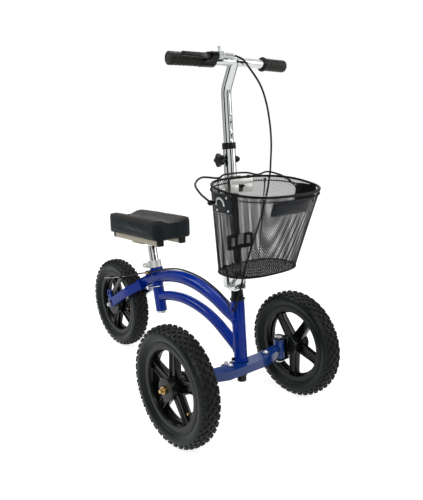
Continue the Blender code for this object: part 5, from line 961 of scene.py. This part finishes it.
def knobShape():
    # a round body whose edge swells into lobes, domed on its outer face and drawn in to a neck
    a = np.linspace(0, 2 * np.pi, 120, endpoint=False)
    lobed = 1 - knob["depth"] / knob["radius"] * (0.5 - 0.5 * np.cos(knob["lobes"] * a)) ** 0.8
    rows = [(0.0, knob["out"]), (0.35, knob["out"]), (0.62, knob["out"] + 0.0004), (0.84, knob["out"] + 0.0014),
            (0.96, knob["out"] + 0.0034), (1.0, knob["out"] + 0.0062), (0.97, knob["in"] - 0.0016),
            (0.88, knob["in"]),
            (0.46, knob["in"] + 0.0004), (0.44, -0.0185), (0.0, -0.0185)]
    share, x = np.array(rows).T[:, :, None]
    r = knob["radius"] * share * np.where(share > 0.5, lobed, 1)
    return grid(xyz(x, r * np.cos(a), r * np.sin(a) + knob["height"]))


shank = bar((-0.0190, 0, knob["height"]), (-0.0135, 0, knob["height"]), 0.003)
makePiece("starKnob", place(joined(knobShape(), shank), folding), "plastic", "star_knob", "star_knob")
dress("star_nut", "plastic", 0.0007)

stem = {"radius": 0.0127, "bore": 0.0107, "low": 0.2289, "bend": 0.4789, "bendRadius": 0.050,
        "angle": math.radians(29)}
turn = np.linspace(0, stem["angle"], 14)[1:]
arc = np.column_stack((0 * turn, -stem["bendRadius"] * (1 - np.cos(turn)),
                       stem["bend"] + stem["bendRadius"] * np.sin(turn)))
barCentre = np.array((0, -0.03497, 0.55492))
straight = np.column_stack((np.zeros(12), np.zeros(12), np.linspace(stem["low"], stem["bend"], 12)))
stemLine = np.vstack((straight, arc, barCentre))
wallSection = circle(stem["radius"], 48)
stemPiece = makePiece("handlebarStem", place(sweep(stemLine, wallSection), folding), "chrome", "handlebar",
                      "handlebar")
holes = [bar((0, -0.03, h), (0, 0.03, h), 0.0032, 24) for h in (0.3809, 0.4129)]
innerBore = sweep(np.vstack((straight[:1] - (0, 0, 0.01), straight[1:])), circle(stem["bore"], 32))
bored(stemPiece, *(place(cutter, folding) for cutter in (innerBore, *holes)))
handle = {"half": 0.1817, "sweep": math.radians(4.4), "radius": 0.0110, "bore": 0.0090}


def barHalf(side):
    # the frame of one half of the bar: its X runs from the bar's middle along that half, which is swept back
    return folding @ np.array(Matrix.Translation(barCentre) @ Matrix.Rotation(side * handle["sweep"], 4, "Z"))


halves = []
for side in (1, -1):
    ends = sorted((-side * 0.0012, side * handle["half"]))
    tubeWall = [(handle["bore"], ends[0]), (handle["radius"], ends[0]), (handle["radius"], ends[1]),
                (handle["bore"], ends[1])]
    halves.append(place(latheX(filleted(tubeWall, 0.0004, 3), steps=48, closed=True), barHalf(side)))
makePiece("handlebarTube", joined(*halves), "chrome", "handlebar")
print("column made")


# Grips, whose skin is radius(x, angle): a round bar with slanting waves and a raised end

grip = {"radius": 0.0153, "bore": 0.0113, "end": 0.1843, "wall": 0.003, "waves": 0.0009, "pitch": 0.0098,
        "fade": 0.006}


def gripShape(side, inner, flare):
    # rings along X: from the middle of the end wall through the bore, over the skin, to the middle of the face
    end, wallAt = grip["end"], grip["end"] - grip["wall"]
    x = np.append(np.linspace(inner, end - 0.0035, 150), end - np.array([0.0026, 0.0016, 0.0008, 0.0002, 0.0]))
    a = np.linspace(0, 2 * np.pi, 72, endpoint=False)[None]
    body = np.append(np.full(150, grip["radius"]), [0.0153, 0.0151, 0.0147, 0.0140, 0.0128])
    body = body + flare * np.exp(-(((x - inner) / grip["fade"]) ** 2))
    fade = np.clip((x - inner - 0.010) / grip["fade"], 0, 1) * np.clip((end - 0.012 - x) / grip["fade"], 0, 1)
    slant = (x[:, None] - inner) / grip["pitch"] * 2 * np.pi + 1.4 * np.sin(a) + 0.5 * np.sin(2 * a)
    r = body[:, None] - (grip["waves"] * fade)[:, None] * (0.5 - 0.5 * np.tanh(2.2 * np.sin(slant)))

    def ring(at, radius):
        return xyz(side * at, radius * np.cos(a), radius * np.sin(a))

    rows = [ring(wallAt, 0.0), ring(wallAt, grip["bore"]), ring(inner, grip["bore"]), ring(x[:, None], r)]
    face = ((0.0105, 0.0), (0.0098, -0.0008), (0.0060, -0.0008), (0.0050, -0.0002), (0.0, 0.0))
    return grid(np.concatenate(rows + [ring(end + h, radius) for radius, h in face]))


for side, name, inner, flare in ((1, "left", 0.1025, 0.0025), (-1, "right", 0.0995, 0.0)):
    skin = place(gripShape(side, inner, flare), barHalf(side))
    makePiece(f"{name}Grip", skin, "grip", "handlebar", f"{name}_grip", angle=50)
dress("brake_perch", "black", 0.0008)
lever = {"height": 0.003, "ball": 0.0055, "line": [
    (-0.0885, -0.025), (-0.0985, -0.0315), (-0.110, -0.0350), (-0.132, -0.0380), (-0.152, -0.0407),
    (-0.1690, -0.0430)]}
leverLine = smoothPath([(x, y, lever["height"]) for x, y in lever["line"]], 6)
run = np.linspace(0, 1, len(leverLine))
thick = np.interp(run, [0, 0.2, 1], [0.0045, 0.0036, 0.0030])
tall = np.interp(run, [0, 0.25, 1], [0.0060, 0.0062, 0.0048])
blade = sweep(leverLine, boxOutline(1, 1, 0.6, 6)[None] * np.stack((thick, tall), axis=-1)[:, None], (0, 1, 0))
a = np.linspace(0, math.pi, 17)
ball = place(lathe(lever["ball"] * np.stack((np.sin(a), np.cos(a)), axis=-1), 32), shift(*leverLine[-1]))
makePiece("brakeBlade", place(joined(blade, ball), barHalf(-1)), "black", "brake_lever", "brake_lever")
dress("cable_adjuster", "zinc", 0.0006)
cableStart = (-0.0199, 0.0087)  # y and z of the cable's line where it leaves the perch
tipWall = filleted([(0.0030, 0), (0.0067, 0), (0.0067, 0.0034), (0.0030, 0.0034)], 0.0006, 3)
tipPlace = barHalf(-1) @ shift(-0.0206, *cableStart) @ alongX
makePiece("adjusterTip", place(lathe(tipWall, 32, True), tipPlace), "steel", "handlebar")
dress("parking_button", "steel", 0.0005)
print("handlebar made")


# Basket: its wall is a superellipse at every level, with the floor at share 0 and the rim at share 1

basket = {"power": 2.6, "floor": 0.434, "cells": 104, "rows": 27, "strand": (0.00092, 0.00060),
          "floorPitch": 0.0074}


def basketLevel(share):
    # half width, back and front y at this share of the height, each on a straight line from floor to rim
    return 0.109 + 0.0345 * share, -0.304 + 0.005 * share, -0.434 - 0.055 * share


def rimZ(y):
    # the height of the rim, which rises to the rear by 27 in 190
    return 0.655 + (y + 0.299) * 0.027 / 0.190


def ringPoint(angle, share, inset=0.0):
    # x and y are the half sizes times |cos|^(2/power) and |sin|^(2/power), and z climbs to the sloping rim
    halfWidth, back, front = basketLevel(share)
    c, s = np.cos(angle), np.sin(angle)
    x = (halfWidth - inset) * np.sign(c) * np.abs(c) ** (2 / basket["power"])
    y = (back + front) / 2 + ((back - front) / 2 - inset) * np.sign(s) * np.abs(s) ** (2 / basket["power"])
    return xyz(x, y, basket["floor"] + (rimZ(y) - basket["floor"]) * share)


def heightShare(y, z):
    # how far up between floor and rim this height is
    return (z - basket["floor"]) / (rimZ(y) - basket["floor"])


angles = np.linspace(0, 2 * np.pi, 4001)
outlineRun = ringPoint(angles, np.full(4001, 0.6))
outlineLength = np.concatenate(([0], np.cumsum(np.linalg.norm(np.diff(outlineRun, axis=0), axis=1))))


def wallPoint(turn, share, inset=0.0015):
    # turn runs evenly along the wall from 0 to 1
    return ringPoint(np.interp(turn % 1, outlineLength / outlineLength[-1], angles), share, inset)


def strandBundle(path, normal, halfWidth, halfThick):
    # a strand with a diamond section along each path: its corners are across and along the normal
    run = unit(np.gradient(path, axis=1))
    across = unit(np.cross(run, normal))
    corners = [across * halfWidth, normal * halfThick, -across * halfWidth, -normal * halfThick]
    return bundle(np.stack([path + corner for corner in corners], axis=2))


def wallStrands(lean):
    # strands from floor to rim, whose turn grows by lean cells for every row of the mesh
    share = np.linspace(0, 1, basket["rows"] + 1)[None]
    cell = np.arange(basket["cells"])[:, None]
    turn = cell / basket["cells"] + lean * share * basket["rows"] / basket["cells"]
    share = np.broadcast_to(share, turn.shape)
    path = wallPoint(turn, share)
    step = 1e-4
    normal = unit(np.cross(wallPoint(turn + step, share) - path, (0, 0, 1.0)))
    return strandBundle(path, normal, *basket["strand"])


def floorStrands(lean):
    # straight strands at 45 degrees, each kept to where it lies inside the floor's outline
    halfWidth, back, front = basketLevel(0)
    middle, depth = (back + front) / 2, (back - front) / 2
    slope, samples = math.sqrt(0.5), 1601
    offset = np.arange(-0.17, 0.17, basket["floorPitch"] * slope)[:, None]
    t = np.linspace(-0.2, 0.2, samples)[None]
    x, y = (t + offset) * slope, (t - offset) * slope * lean
    power, clear = basket["power"], 0.0015
    inside = (np.abs(x) / (halfWidth - clear)) ** power + (np.abs(y) / (depth - clear)) ** power < 1
    keep = inside.sum(axis=1) > 12
    inside, offset = inside[keep], offset[keep]
    first, last = t[0][inside.argmax(axis=1)], t[0][samples - 1 - inside[:, ::-1].argmax(axis=1)]
    t = first[:, None] + (last - first)[:, None] * np.linspace(0, 1, 5)
    path = xyz((t + offset) * slope, middle + (t - offset) * slope * lean, 0.4355)
    return strandBundle(path, np.array((0, 0, 1.0)) + 0 * path, *basket["strand"])


def basketHoop(share, radius, inset=0.0015, sides=10):
    # a wire once round the wall at this share of its height
    turn = np.linspace(0, 1, 200, endpoint=False)
    return sweep(wallPoint(turn, np.full(200, share), inset), circle(radius, sides), (0, 0, 1), closed=True)


strands = joined(wallStrands(1), wallStrands(-1), floorStrands(1), floorStrands(-1))
makePiece("basketMesh", strands, "mesh", "basket", "basket", angle=30)
posts = []
for turn in (0.148, 0.352):  # an upright wire at each back corner
    share = np.linspace(0, 1, 12)
    posts.append(sweep(wallPoint(np.full(12, turn), share, -0.0004), circle(0.0016, 10), (1, 0, 0)))
hoops = [basketHoop(1.0, 0.0031, 0.0032), basketHoop(0.945, 0.0014, 0.0), basketHoop(0.0, 0.0026)]
makePiece("basketWires", joined(*hoops, *posts), "mesh", "basket")


def wallX(y, z):
    # how far the side wall stands from the middle: the superellipse solved for x
    halfWidth, back, front = basketLevel(heightShare(y, z))
    across = np.abs(y - (back + front) / 2) / ((back - front) / 2)
    return halfWidth * (1 - across ** basket["power"]) ** (1 / basket["power"])


def wallFrontY(x, z):
    # where the front wall stands: the superellipse solved for y
    y = np.full(np.shape(x), -0.46)
    for _ in range(4):  # the wall's height share depends a little on y, so it is worked out again
        halfWidth, back, front = basketLevel(heightShare(y, z))
        bulge = (1 - np.abs(x / halfWidth) ** basket["power"]) ** (1 / basket["power"])
        y = (back + front) / 2 - (back - front) / 2 * bulge
    return y


def curvedPlate(centre, half, corner, thickness, clearance, mapping):
    # rings of a rounded rectangle shrunk towards its middle, on both faces, bent onto the wall by mapping
    outline = boxOutline(*half, corner, 8)
    inFace = [(0.0, 0.0), (0.35, 0.0), (0.7, 0.0), (0.985, 0.0), (1.0, 0.3)]
    rows = inFace + [(s, 1 - w) for s, w in reversed(inFace)]
    points = [mapping(centre[0] + outline[:, 0] * s, centre[1] + outline[:, 1] * s,
                      clearance + thickness * w) for s, w in rows]
    return grid(np.stack(points))


def sideMapping(side):
    # (y, z) goes onto the side wall, this far out from it
    return lambda y, z, out: xyz(side * (wallX(y, z) + out), y, z)


def frontMapping(x, z, out):
    # (x, z) goes onto the front wall, this far out from it
    return xyz(x, wallFrontY(x, z) - out, z)


plates = {  # centre, half sizes, corner radius, thickness and clearance
    "side": ((-0.3925, 0.613), (0.0325, 0.023), 0.007, 0.0022, 0.0009),
    "front": ((0.0, 0.600), (0.065, 0.0165), 0.004, 0.0020, 0.0008),
}
bail = {"pivot": (-0.365, 0.612), "tilt": math.radians(31), "radius": 0.0025, "eye": 0.149}
for side, name in ((1, "left"), (-1, "right")):
    shape = curvedPlate(*plates["side"], sideMapping(side))
    reaches = (wallX(*bail["pivot"]) + 0.0015, 0.1518, 0.1528, 0.1543)
    atWall, atShoulder, atCap, atEnd = ((side * x, *bail["pivot"]) for x in reaches)
    boss = [bar(atWall, atCap, 0.0028), bar(atShoulder, atEnd, 0.0045, 24, 0.0008)]
    makePiece(f"{name}Plate", joined(shape, *boss), "plate", "basket", f"{name}_basket_plate")
    screws = []
    for y, z in ((-0.415, 0.628), (-0.415, 0.598), (-0.378, 0.597)):
        x = side * (wallX(y, z) + 0.0030)
        screws.append(bar((x, y, z), (x + side * 0.0014, y, z), 0.0028, 20, 0.0006))
    makePiece(f"{name}PlateScrews", joined(*screws), "steel", "basket")
    turn = np.linspace(-0.35, math.pi + 0.35, 25)
    y, z = -0.392 - 0.0135 * np.cos(turn), 0.6125 + 0.0125 * np.sin(turn)
    clipLine = sideMapping(side)(y, z, 0.0043)
    flat = filleted([(0.0011, 0.0026), (-0.0011, 0.0026), (-0.0011, -0.0026), (0.0011, -0.0026)], 0.0006, 3)
    makePiece(f"{name}BailClip", sweep(clipLine, flat, (1, 0, 0)), "zinc", "basket")
makePiece("frontPlate", curvedPlate(*plates["front"], frontMapping), "plate", "basket")
half = np.array([(0.149, 0.006), (0.154, 0.036), (0.146, 0.070), (0.110, 0.093), (0.066, 0.085),
                 (0.034, 0.097)])
half = np.vstack((half, (half * (-1, 1))[::-1]))
back = np.array((0, math.cos(bail["tilt"]), math.sin(bail["tilt"])))
bailLine = np.array((0, *bail["pivot"])) + half[:, :1] * (1, 0, 0) + half[:, 1:] * back
eyeWall = filleted([(0.0031, -0.0025), (0.0065, -0.0025), (0.0065, 0.0025), (0.0031, 0.0025)], 0.0012, 4)
eyes = [latheX(eyeWall, (side * bail["eye"], *bail["pivot"]), 32, True) for side in (1, -1)]
bailShape = joined(wire(bailLine, bail["radius"], 6, 14), *eyes)
makePiece("basketBail", bailShape, "black", "basket_handle", "basket_handle")

dress("basket_bracket", "satin", 0.0010)
lowerBracket = dress("lower_basket_bracket", "black", 0.0)
windowCut = place(prism(boxOutline(0.0115, 0.0125, 0.003), -0.40, -0.20), alongY)
bored(lowerBracket, *(place(windowCut, shift(x, 0, 0.491)) for x in (-0.0245, 0.0245)))


def slab(x, z, halfWidth, halfHeight, y, thick=0.0013, corner=0.002):
    # an upright plate that faces the front, from its middle and half sizes
    return outward(place(prism(boxOutline(halfWidth, halfHeight, corner) + (x, z), y, y + thick, 0.0003),
                         alongY))


# the basket hangs by a bright plate inside its back wall, and a black one with bright windows stands below it
hanger = [slab(0, 0.6440, 0.0385, 0.0070, -0.3058), slab(-0.0240, 0.6270, 0.0130, 0.0100, -0.3066),
          slab(0.0200, 0.6270, 0.0165, 0.0100, -0.3066)]
makePiece("basketHanger", joined(*hanger), "satin", "basket")
hookEnds = [[(x + side * 0.0048, -0.3012, 0.6545) for side in (-1, 1)] for x in (-0.030, -0.006, 0.026)]
hooks = [bar(*ends, 0.0046, 20, 0.0022) for ends in hookEnds]
hooks.append(slab(0.002, 0.6330, 0.0060, 0.0028, -0.3078))
makePiece("basketHooks", joined(*hooks), "plastic", "basket")
makePiece("basketSocket", slab(0, 0.4905, 0.0405, 0.0185, -0.3066), "black", "basket")
windows = [slab(*pane, -0.3078) for pane in (
    (-0.0285, 0.4925, 0.0052, 0.0105), (-0.0030, 0.4965, 0.0092, 0.0120), (0.0235, 0.4940, 0.0058, 0.0105))]
makePiece("basketWindows", joined(*windows), "satin", "basket")
print("basket made")


# Knee pad and its base

pad = {"halfWidth": 0.0716, "front": -0.1395, "rear": 0.1520, "edge": 0.065, "trough": 0.012,
       "troughShare": 0.84,
       "shoulder": 0.009, "corner": 0.022, "foot": 0.0006}
swell = {"reach": 0.0022, "above": 0.004, "voxel": 0.005, "pressure": 4.0, "frames": 20}


def troughDip(share):
    # the top's dip: the whole trough at share 0, fading as a half wave to nothing at share 1
    return pad["trough"] * (0.5 + 0.5 * np.cos(np.pi * np.minimum(share, 1)))


def padShape(shrink):
    # half width over y rounds off at the corners, and the top dips along the middle and falls away at its rim
    across = np.sin(np.linspace(-np.pi / 2, np.pi / 2, 41))[None]
    along = 0.5 - 0.5 * np.cos(np.linspace(0, np.pi, 61))[:, None]
    front, rear = pad["front"] + shrink, pad["rear"] - shrink
    y = front + (rear - front) * along
    margin = np.minimum(y - front, rear - y)
    into = np.maximum(pad["corner"] - margin, 0)
    width = pad["halfWidth"] - shrink - pad["corner"] + np.sqrt(np.maximum(pad["corner"] ** 2 - into**2, 0))
    fall = np.maximum(pad["shoulder"] - margin, 0)
    drop = pad["shoulder"] - np.sqrt(np.maximum(pad["shoulder"] ** 2 - fall**2, 0))
    rimShare = np.clip((np.abs(across) - pad["troughShare"]) / 0.16, 0, 1)
    trough = troughDip(np.abs(across) / pad["troughShare"])
    shoulders = pad["shoulder"] * (1 - np.sqrt(1 - rimShare**2))
    top = pad["edge"] - shrink - trough - shoulders - drop * (1 - 0.3 * rimShare)
    x = across * width
    foot = pad["foot"]

    def wallLines(column, shares):
        # lines down one side, at these shares of the way from the foot to the top
        edge = top[:, column]
        lines = [xyz(x[:, column], y[:, 0], foot + shrink + (edge - foot - shrink) * share) for share in shares]
        return np.stack(lines, axis=1)

    down = np.linspace(0.85, 0.15, 6)
    under = xyz(x[:, ::-4] * 0.98, y, foot + shrink)
    return grid(np.concatenate((xyz(x, y, top), wallLines(-1, down), under, wallLines(0, down[::-1])),
                               axis=1), caps=True)


def padLocal(points):
    # points of the world in the pad's own frame
    return (points - cushionBase[:3, 3]) @ cushionBase[:3, :3]


def cushion():
    # the pad a little too small, blown up as a cloth by pressure, where no point moves further than the reach
    mesh = meshFrom("kneePad", place(padShape(swell["reach"]), cushionBase), 1e-5)
    piece = makePiece("kneePad", mesh, "vinyl", "seat", "knee_pad", angle=60)
    remesh = piece.modifiers.new("even", "REMESH")
    remesh.mode, remesh.voxel_size = "VOXEL", swell["voxel"]
    settled(piece)
    rest = np.array([v.co for v in piece.data.vertices])
    cloth = piece.modifiers.new("swell", "CLOTH")
    cloth.settings.use_pressure = True
    cloth.settings.uniform_pressure_force = swell["pressure"]
    cloth.settings.effector_weights.gravity = 0.0
    cloth.settings.quality = 5
    for number in range(1, swell["frames"] + 1):
        bpy.context.scene.frame_set(number)
    settled(piece)
    bpy.context.scene.frame_set(1)
    move = np.array([v.co for v in piece.data.vertices]) - rest
    reach = np.linalg.norm(move, axis=1, keepdims=True)
    cap = np.where(padLocal(rest)[:, 2:] > swell["above"], swell["reach"], 0.0)
    moved = rest + move * np.minimum(1, cap / np.maximum(reach, 1e-9))
    piece.data.vertices.foreach_set("co", moved.astype(np.float32).ravel())
    smooth = piece.modifiers.new("smooth", "SUBSURF")
    smooth.levels = smooth.render_levels = 1
    return settled(piece)


padPiece = cushion()
height = padLocal(np.array([v.co for v in padPiece.data.vertices]))[:, 2]
topSheenShare = np.clip((height - 0.047) / 0.008, 0, 1)  # where the top's painted sheen, paler and browner, begins
padPiece.data.attributes.new("top", "FLOAT", "POINT").data.foreach_set("value", topSheenShare.astype(np.float32))
padPiece.data.materials.clear()
padPiece.data.materials.append(finishes["vinyl"])
padPiece.data.shade_smooth()
skin = BVHTree.FromPolygons([v.co for v in padPiece.data.vertices],
                            [p.vertices for p in padPiece.data.polygons])


def onSkin(outside, inside):
    # where a look from outside towards inside, both in the pad's own frame, meets its skin
    outside, inside = (Vector((cushionBase @ (*spot, 1))[:3]) for spot in (outside, inside))
    hit = skin.ray_cast(outside, (inside - outside).normalized())[0]
    return np.array(hit if hit else inside)


def pipingShape(height, radius, follow=0.0):
    # a cord laid round the pad's skin, half sunk, whose height dips with the trough by the share follow
    outline = boxOutline(pad["halfWidth"] - 0.004, (pad["rear"] - pad["front"]) / 2 - 0.004, pad["corner"], 16)
    middle = (pad["rear"] + pad["front"]) / 2
    dense = smoothPath(np.vstack((outline, outline[:1])), 3)[:-1]
    levels = height - follow * troughDip(np.abs(dense[:, 0]) / (pad["troughShare"] * pad["halfWidth"]))
    line = [onSkin(*((u * far, middle + v * far, level) for far in (1.5, 0.5))) for (u, v),
            level in zip(dense, levels)]
    return sweep(np.array(line), circle(radius, 10), cushionBase[:3, 2], closed=True)


def seamShape(x, end):
    # an upright seam up one end of the pad, from its foot to its top edge
    line = [onSkin((x, end * 1.6, z), (x, end * 0.6, z)) for z in np.linspace(0.004, 0.046, 16)]
    return sweep(np.array(line), circle(0.0011, 8), (1, 0, 0))


seams = [seamShape(0.012, pad[end]) for end in ("front", "rear")]
piping = joined(pipingShape(0.0585, 0.0016, 1.0), pipingShape(0.0035, 0.0014), *seams)
makePiece("padPiping", piping, "plastic", "seat")
railsShape, capsShape = [], []
for side in (1, -1):
    section = boxOutline(0.0095, 0.009, 0.0022)
    path = np.stack([(side * 0.040, y, -0.0093) for y in np.linspace(-0.1130, 0.1355, 6)])
    railsShape.append(sweep(path, section))
    for y0, y1 in ((-0.1223, -0.1115), (0.1340, 0.1448)):
        path = np.stack([(side * 0.040, y, -0.0093) for y in (y0, y0 + 0.001, y1 - 0.001, y1)])
        scale = np.array([0.92, 1, 1, 0.97])[:, None, None]
        capsShape.append(sweep(path, boxOutline(0.0102, 0.0092, 0.0024)[None] * scale))
plate = place(prism(boxOutline(0.0495, 0.032, 0.006), -0.0223, -0.0183, 0.0008), np.eye(4))
railsShape.append(plate)
makePiece("padRails", place(joined(*railsShape), cushionBase), "champagne", "seat", "pad_frame")
makePiece("padRailCaps", place(joined(*capsShape), cushionBase), "plastic", "seat")
postLine = filleted([(0.0123, 0.0), (0.0143, 0.0), (0.0143, 0.216), (0.0123, 0.216)], 0.0005, 3)
makePiece("seatPost", place(lathe(postLine, 64, True), seating), "chrome", "seat", "seat_post")
stemHigh = padRise - 0.0205
stemTop = [(0, 0.180), (0.0120, 0.180), (0.0120, 0.2163), (0.0143, 0.2163), (0.0143, stemHigh), (0, stemHigh)]
makePiece("padStem", place(lathe(filleted(stemTop, 0.0004, 3, False), 64), seating), "chrome", "seat")
for node, finish, edge in (("seat_clamp", "satin", 0.0007), ("seat_lever", "steel", 0.0008),
                           ("seat_tube_bolt", "steel", 0.0)):
    dress(node, finish, edge)
print("knee rest made")


# Brake, axles and cables

for node, finish, edge in (
    ("rear_axle", "steel", 0.0006), ("brake_drum", "rimGrey", 0.0008), ("brake_backplate", "black", 0.0006),
    ("brake_arm", "black", 0.0006), ("rear_cable_adjuster", "brass", 0.0), ("left_axle_nut", "brass", 0.0006),
    ("right_axle_nut", "brass", 0.0006),
):
    dress(node, finish, edge)

frontCable = [
    (0.0115, -0.2905, 0.9350), (0.0286, -0.2920, 0.9197), (0.0620, -0.2980, 0.8801), (0.0830, -0.3000, 0.8376),
    (0.1005, -0.2970, 0.7874), (0.1169, -0.2880, 0.7353), (0.1286, -0.2760, 0.6811), (0.1310, -0.2720, 0.6533),
    (0.1224, -0.2720, 0.6061), (0.1027, -0.2760, 0.5532), (0.0681, -0.2840, 0.4893), (0.0320, -0.2950, 0.4297),
    (0.0042, -0.3120, 0.4008), (-0.0060, -0.3155, 0.3771), (-0.0189, -0.3175, 0.3443),
    (-0.0240, -0.3140, 0.3230)]
rearCable = [
    (-0.0170, -0.2800, 0.3115), (-0.0060, -0.2650, 0.3150), (-0.0010, -0.2450, 0.3205),
    (0.0010, -0.2100, 0.3345),
    (0.0020, -0.1500, 0.3505), (0.0010, -0.0900, 0.3575), (-0.0040, -0.0300, 0.3570), (-0.0130, 0.0200, 0.3475),
    (-0.0230, 0.0550, 0.3360)]


def seatPoint(y):
    # a point on the rear adjuster's line beside the seat tube, in the tube's frame
    return (seating @ (-0.031, y, 0.1348, 1))[:3]


start, ahead = [(barHalf(-1) @ (x, *cableStart, 1))[:3] for x in (-0.0167, -0.0080)]
guideY = (guide["y"][0] - 0.003, -0.2978, -0.2972, guide["y"][1] + 0.002)  # before, inside and behind the guide
inGuide = [(guide["x"], y, guide["z"]) for y in guideY]
cords = (  # name, node, body, lay, route
    ("frontCable", "front_cable", None, "hanging", [start, ahead, *frontCable, *inGuide[:2]]),
    ("rearCable", "rear_cable", "frame", "loose",
     [*inGuide[2:], *rearCable, seatPoint(-0.011), seatPoint(-0.003)]),
)
for name, node, body, lay, route in cords:
    line = smoothPath(route, 6)
    sleeve = makePiece(name, wire(line, 0.0025, 0, 14), "cable", body, node)
    if body is None:  # its lower part stays with the column when the handlebar slides
        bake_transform(sleeve, "column", "handlebar", start=(0, -0.280, 0.600), end=(0, -0.300, 0.900))
anchor = np.array((-0.0367, 0.262, 0.271))
wireRun = unit(anchor - seatPoint(0.021))
inner = [seatPoint(-0.004), seatPoint(0.021), anchor + wireRun * 0.010, (-0.0370, 0.3800, 0.2400)]
makePiece("rearWire", wire(inner, 0.0008, 8, 8), "steel", "frame")
bootRun = [seatPoint(0.023), seatPoint(0.021) + wireRun * 0.05, anchor - wireRun * 0.034]
makePiece("wireBoot", wire(bootRun, 0.0021, 8, 12), "cable", "frame")
print("brake and cables made")
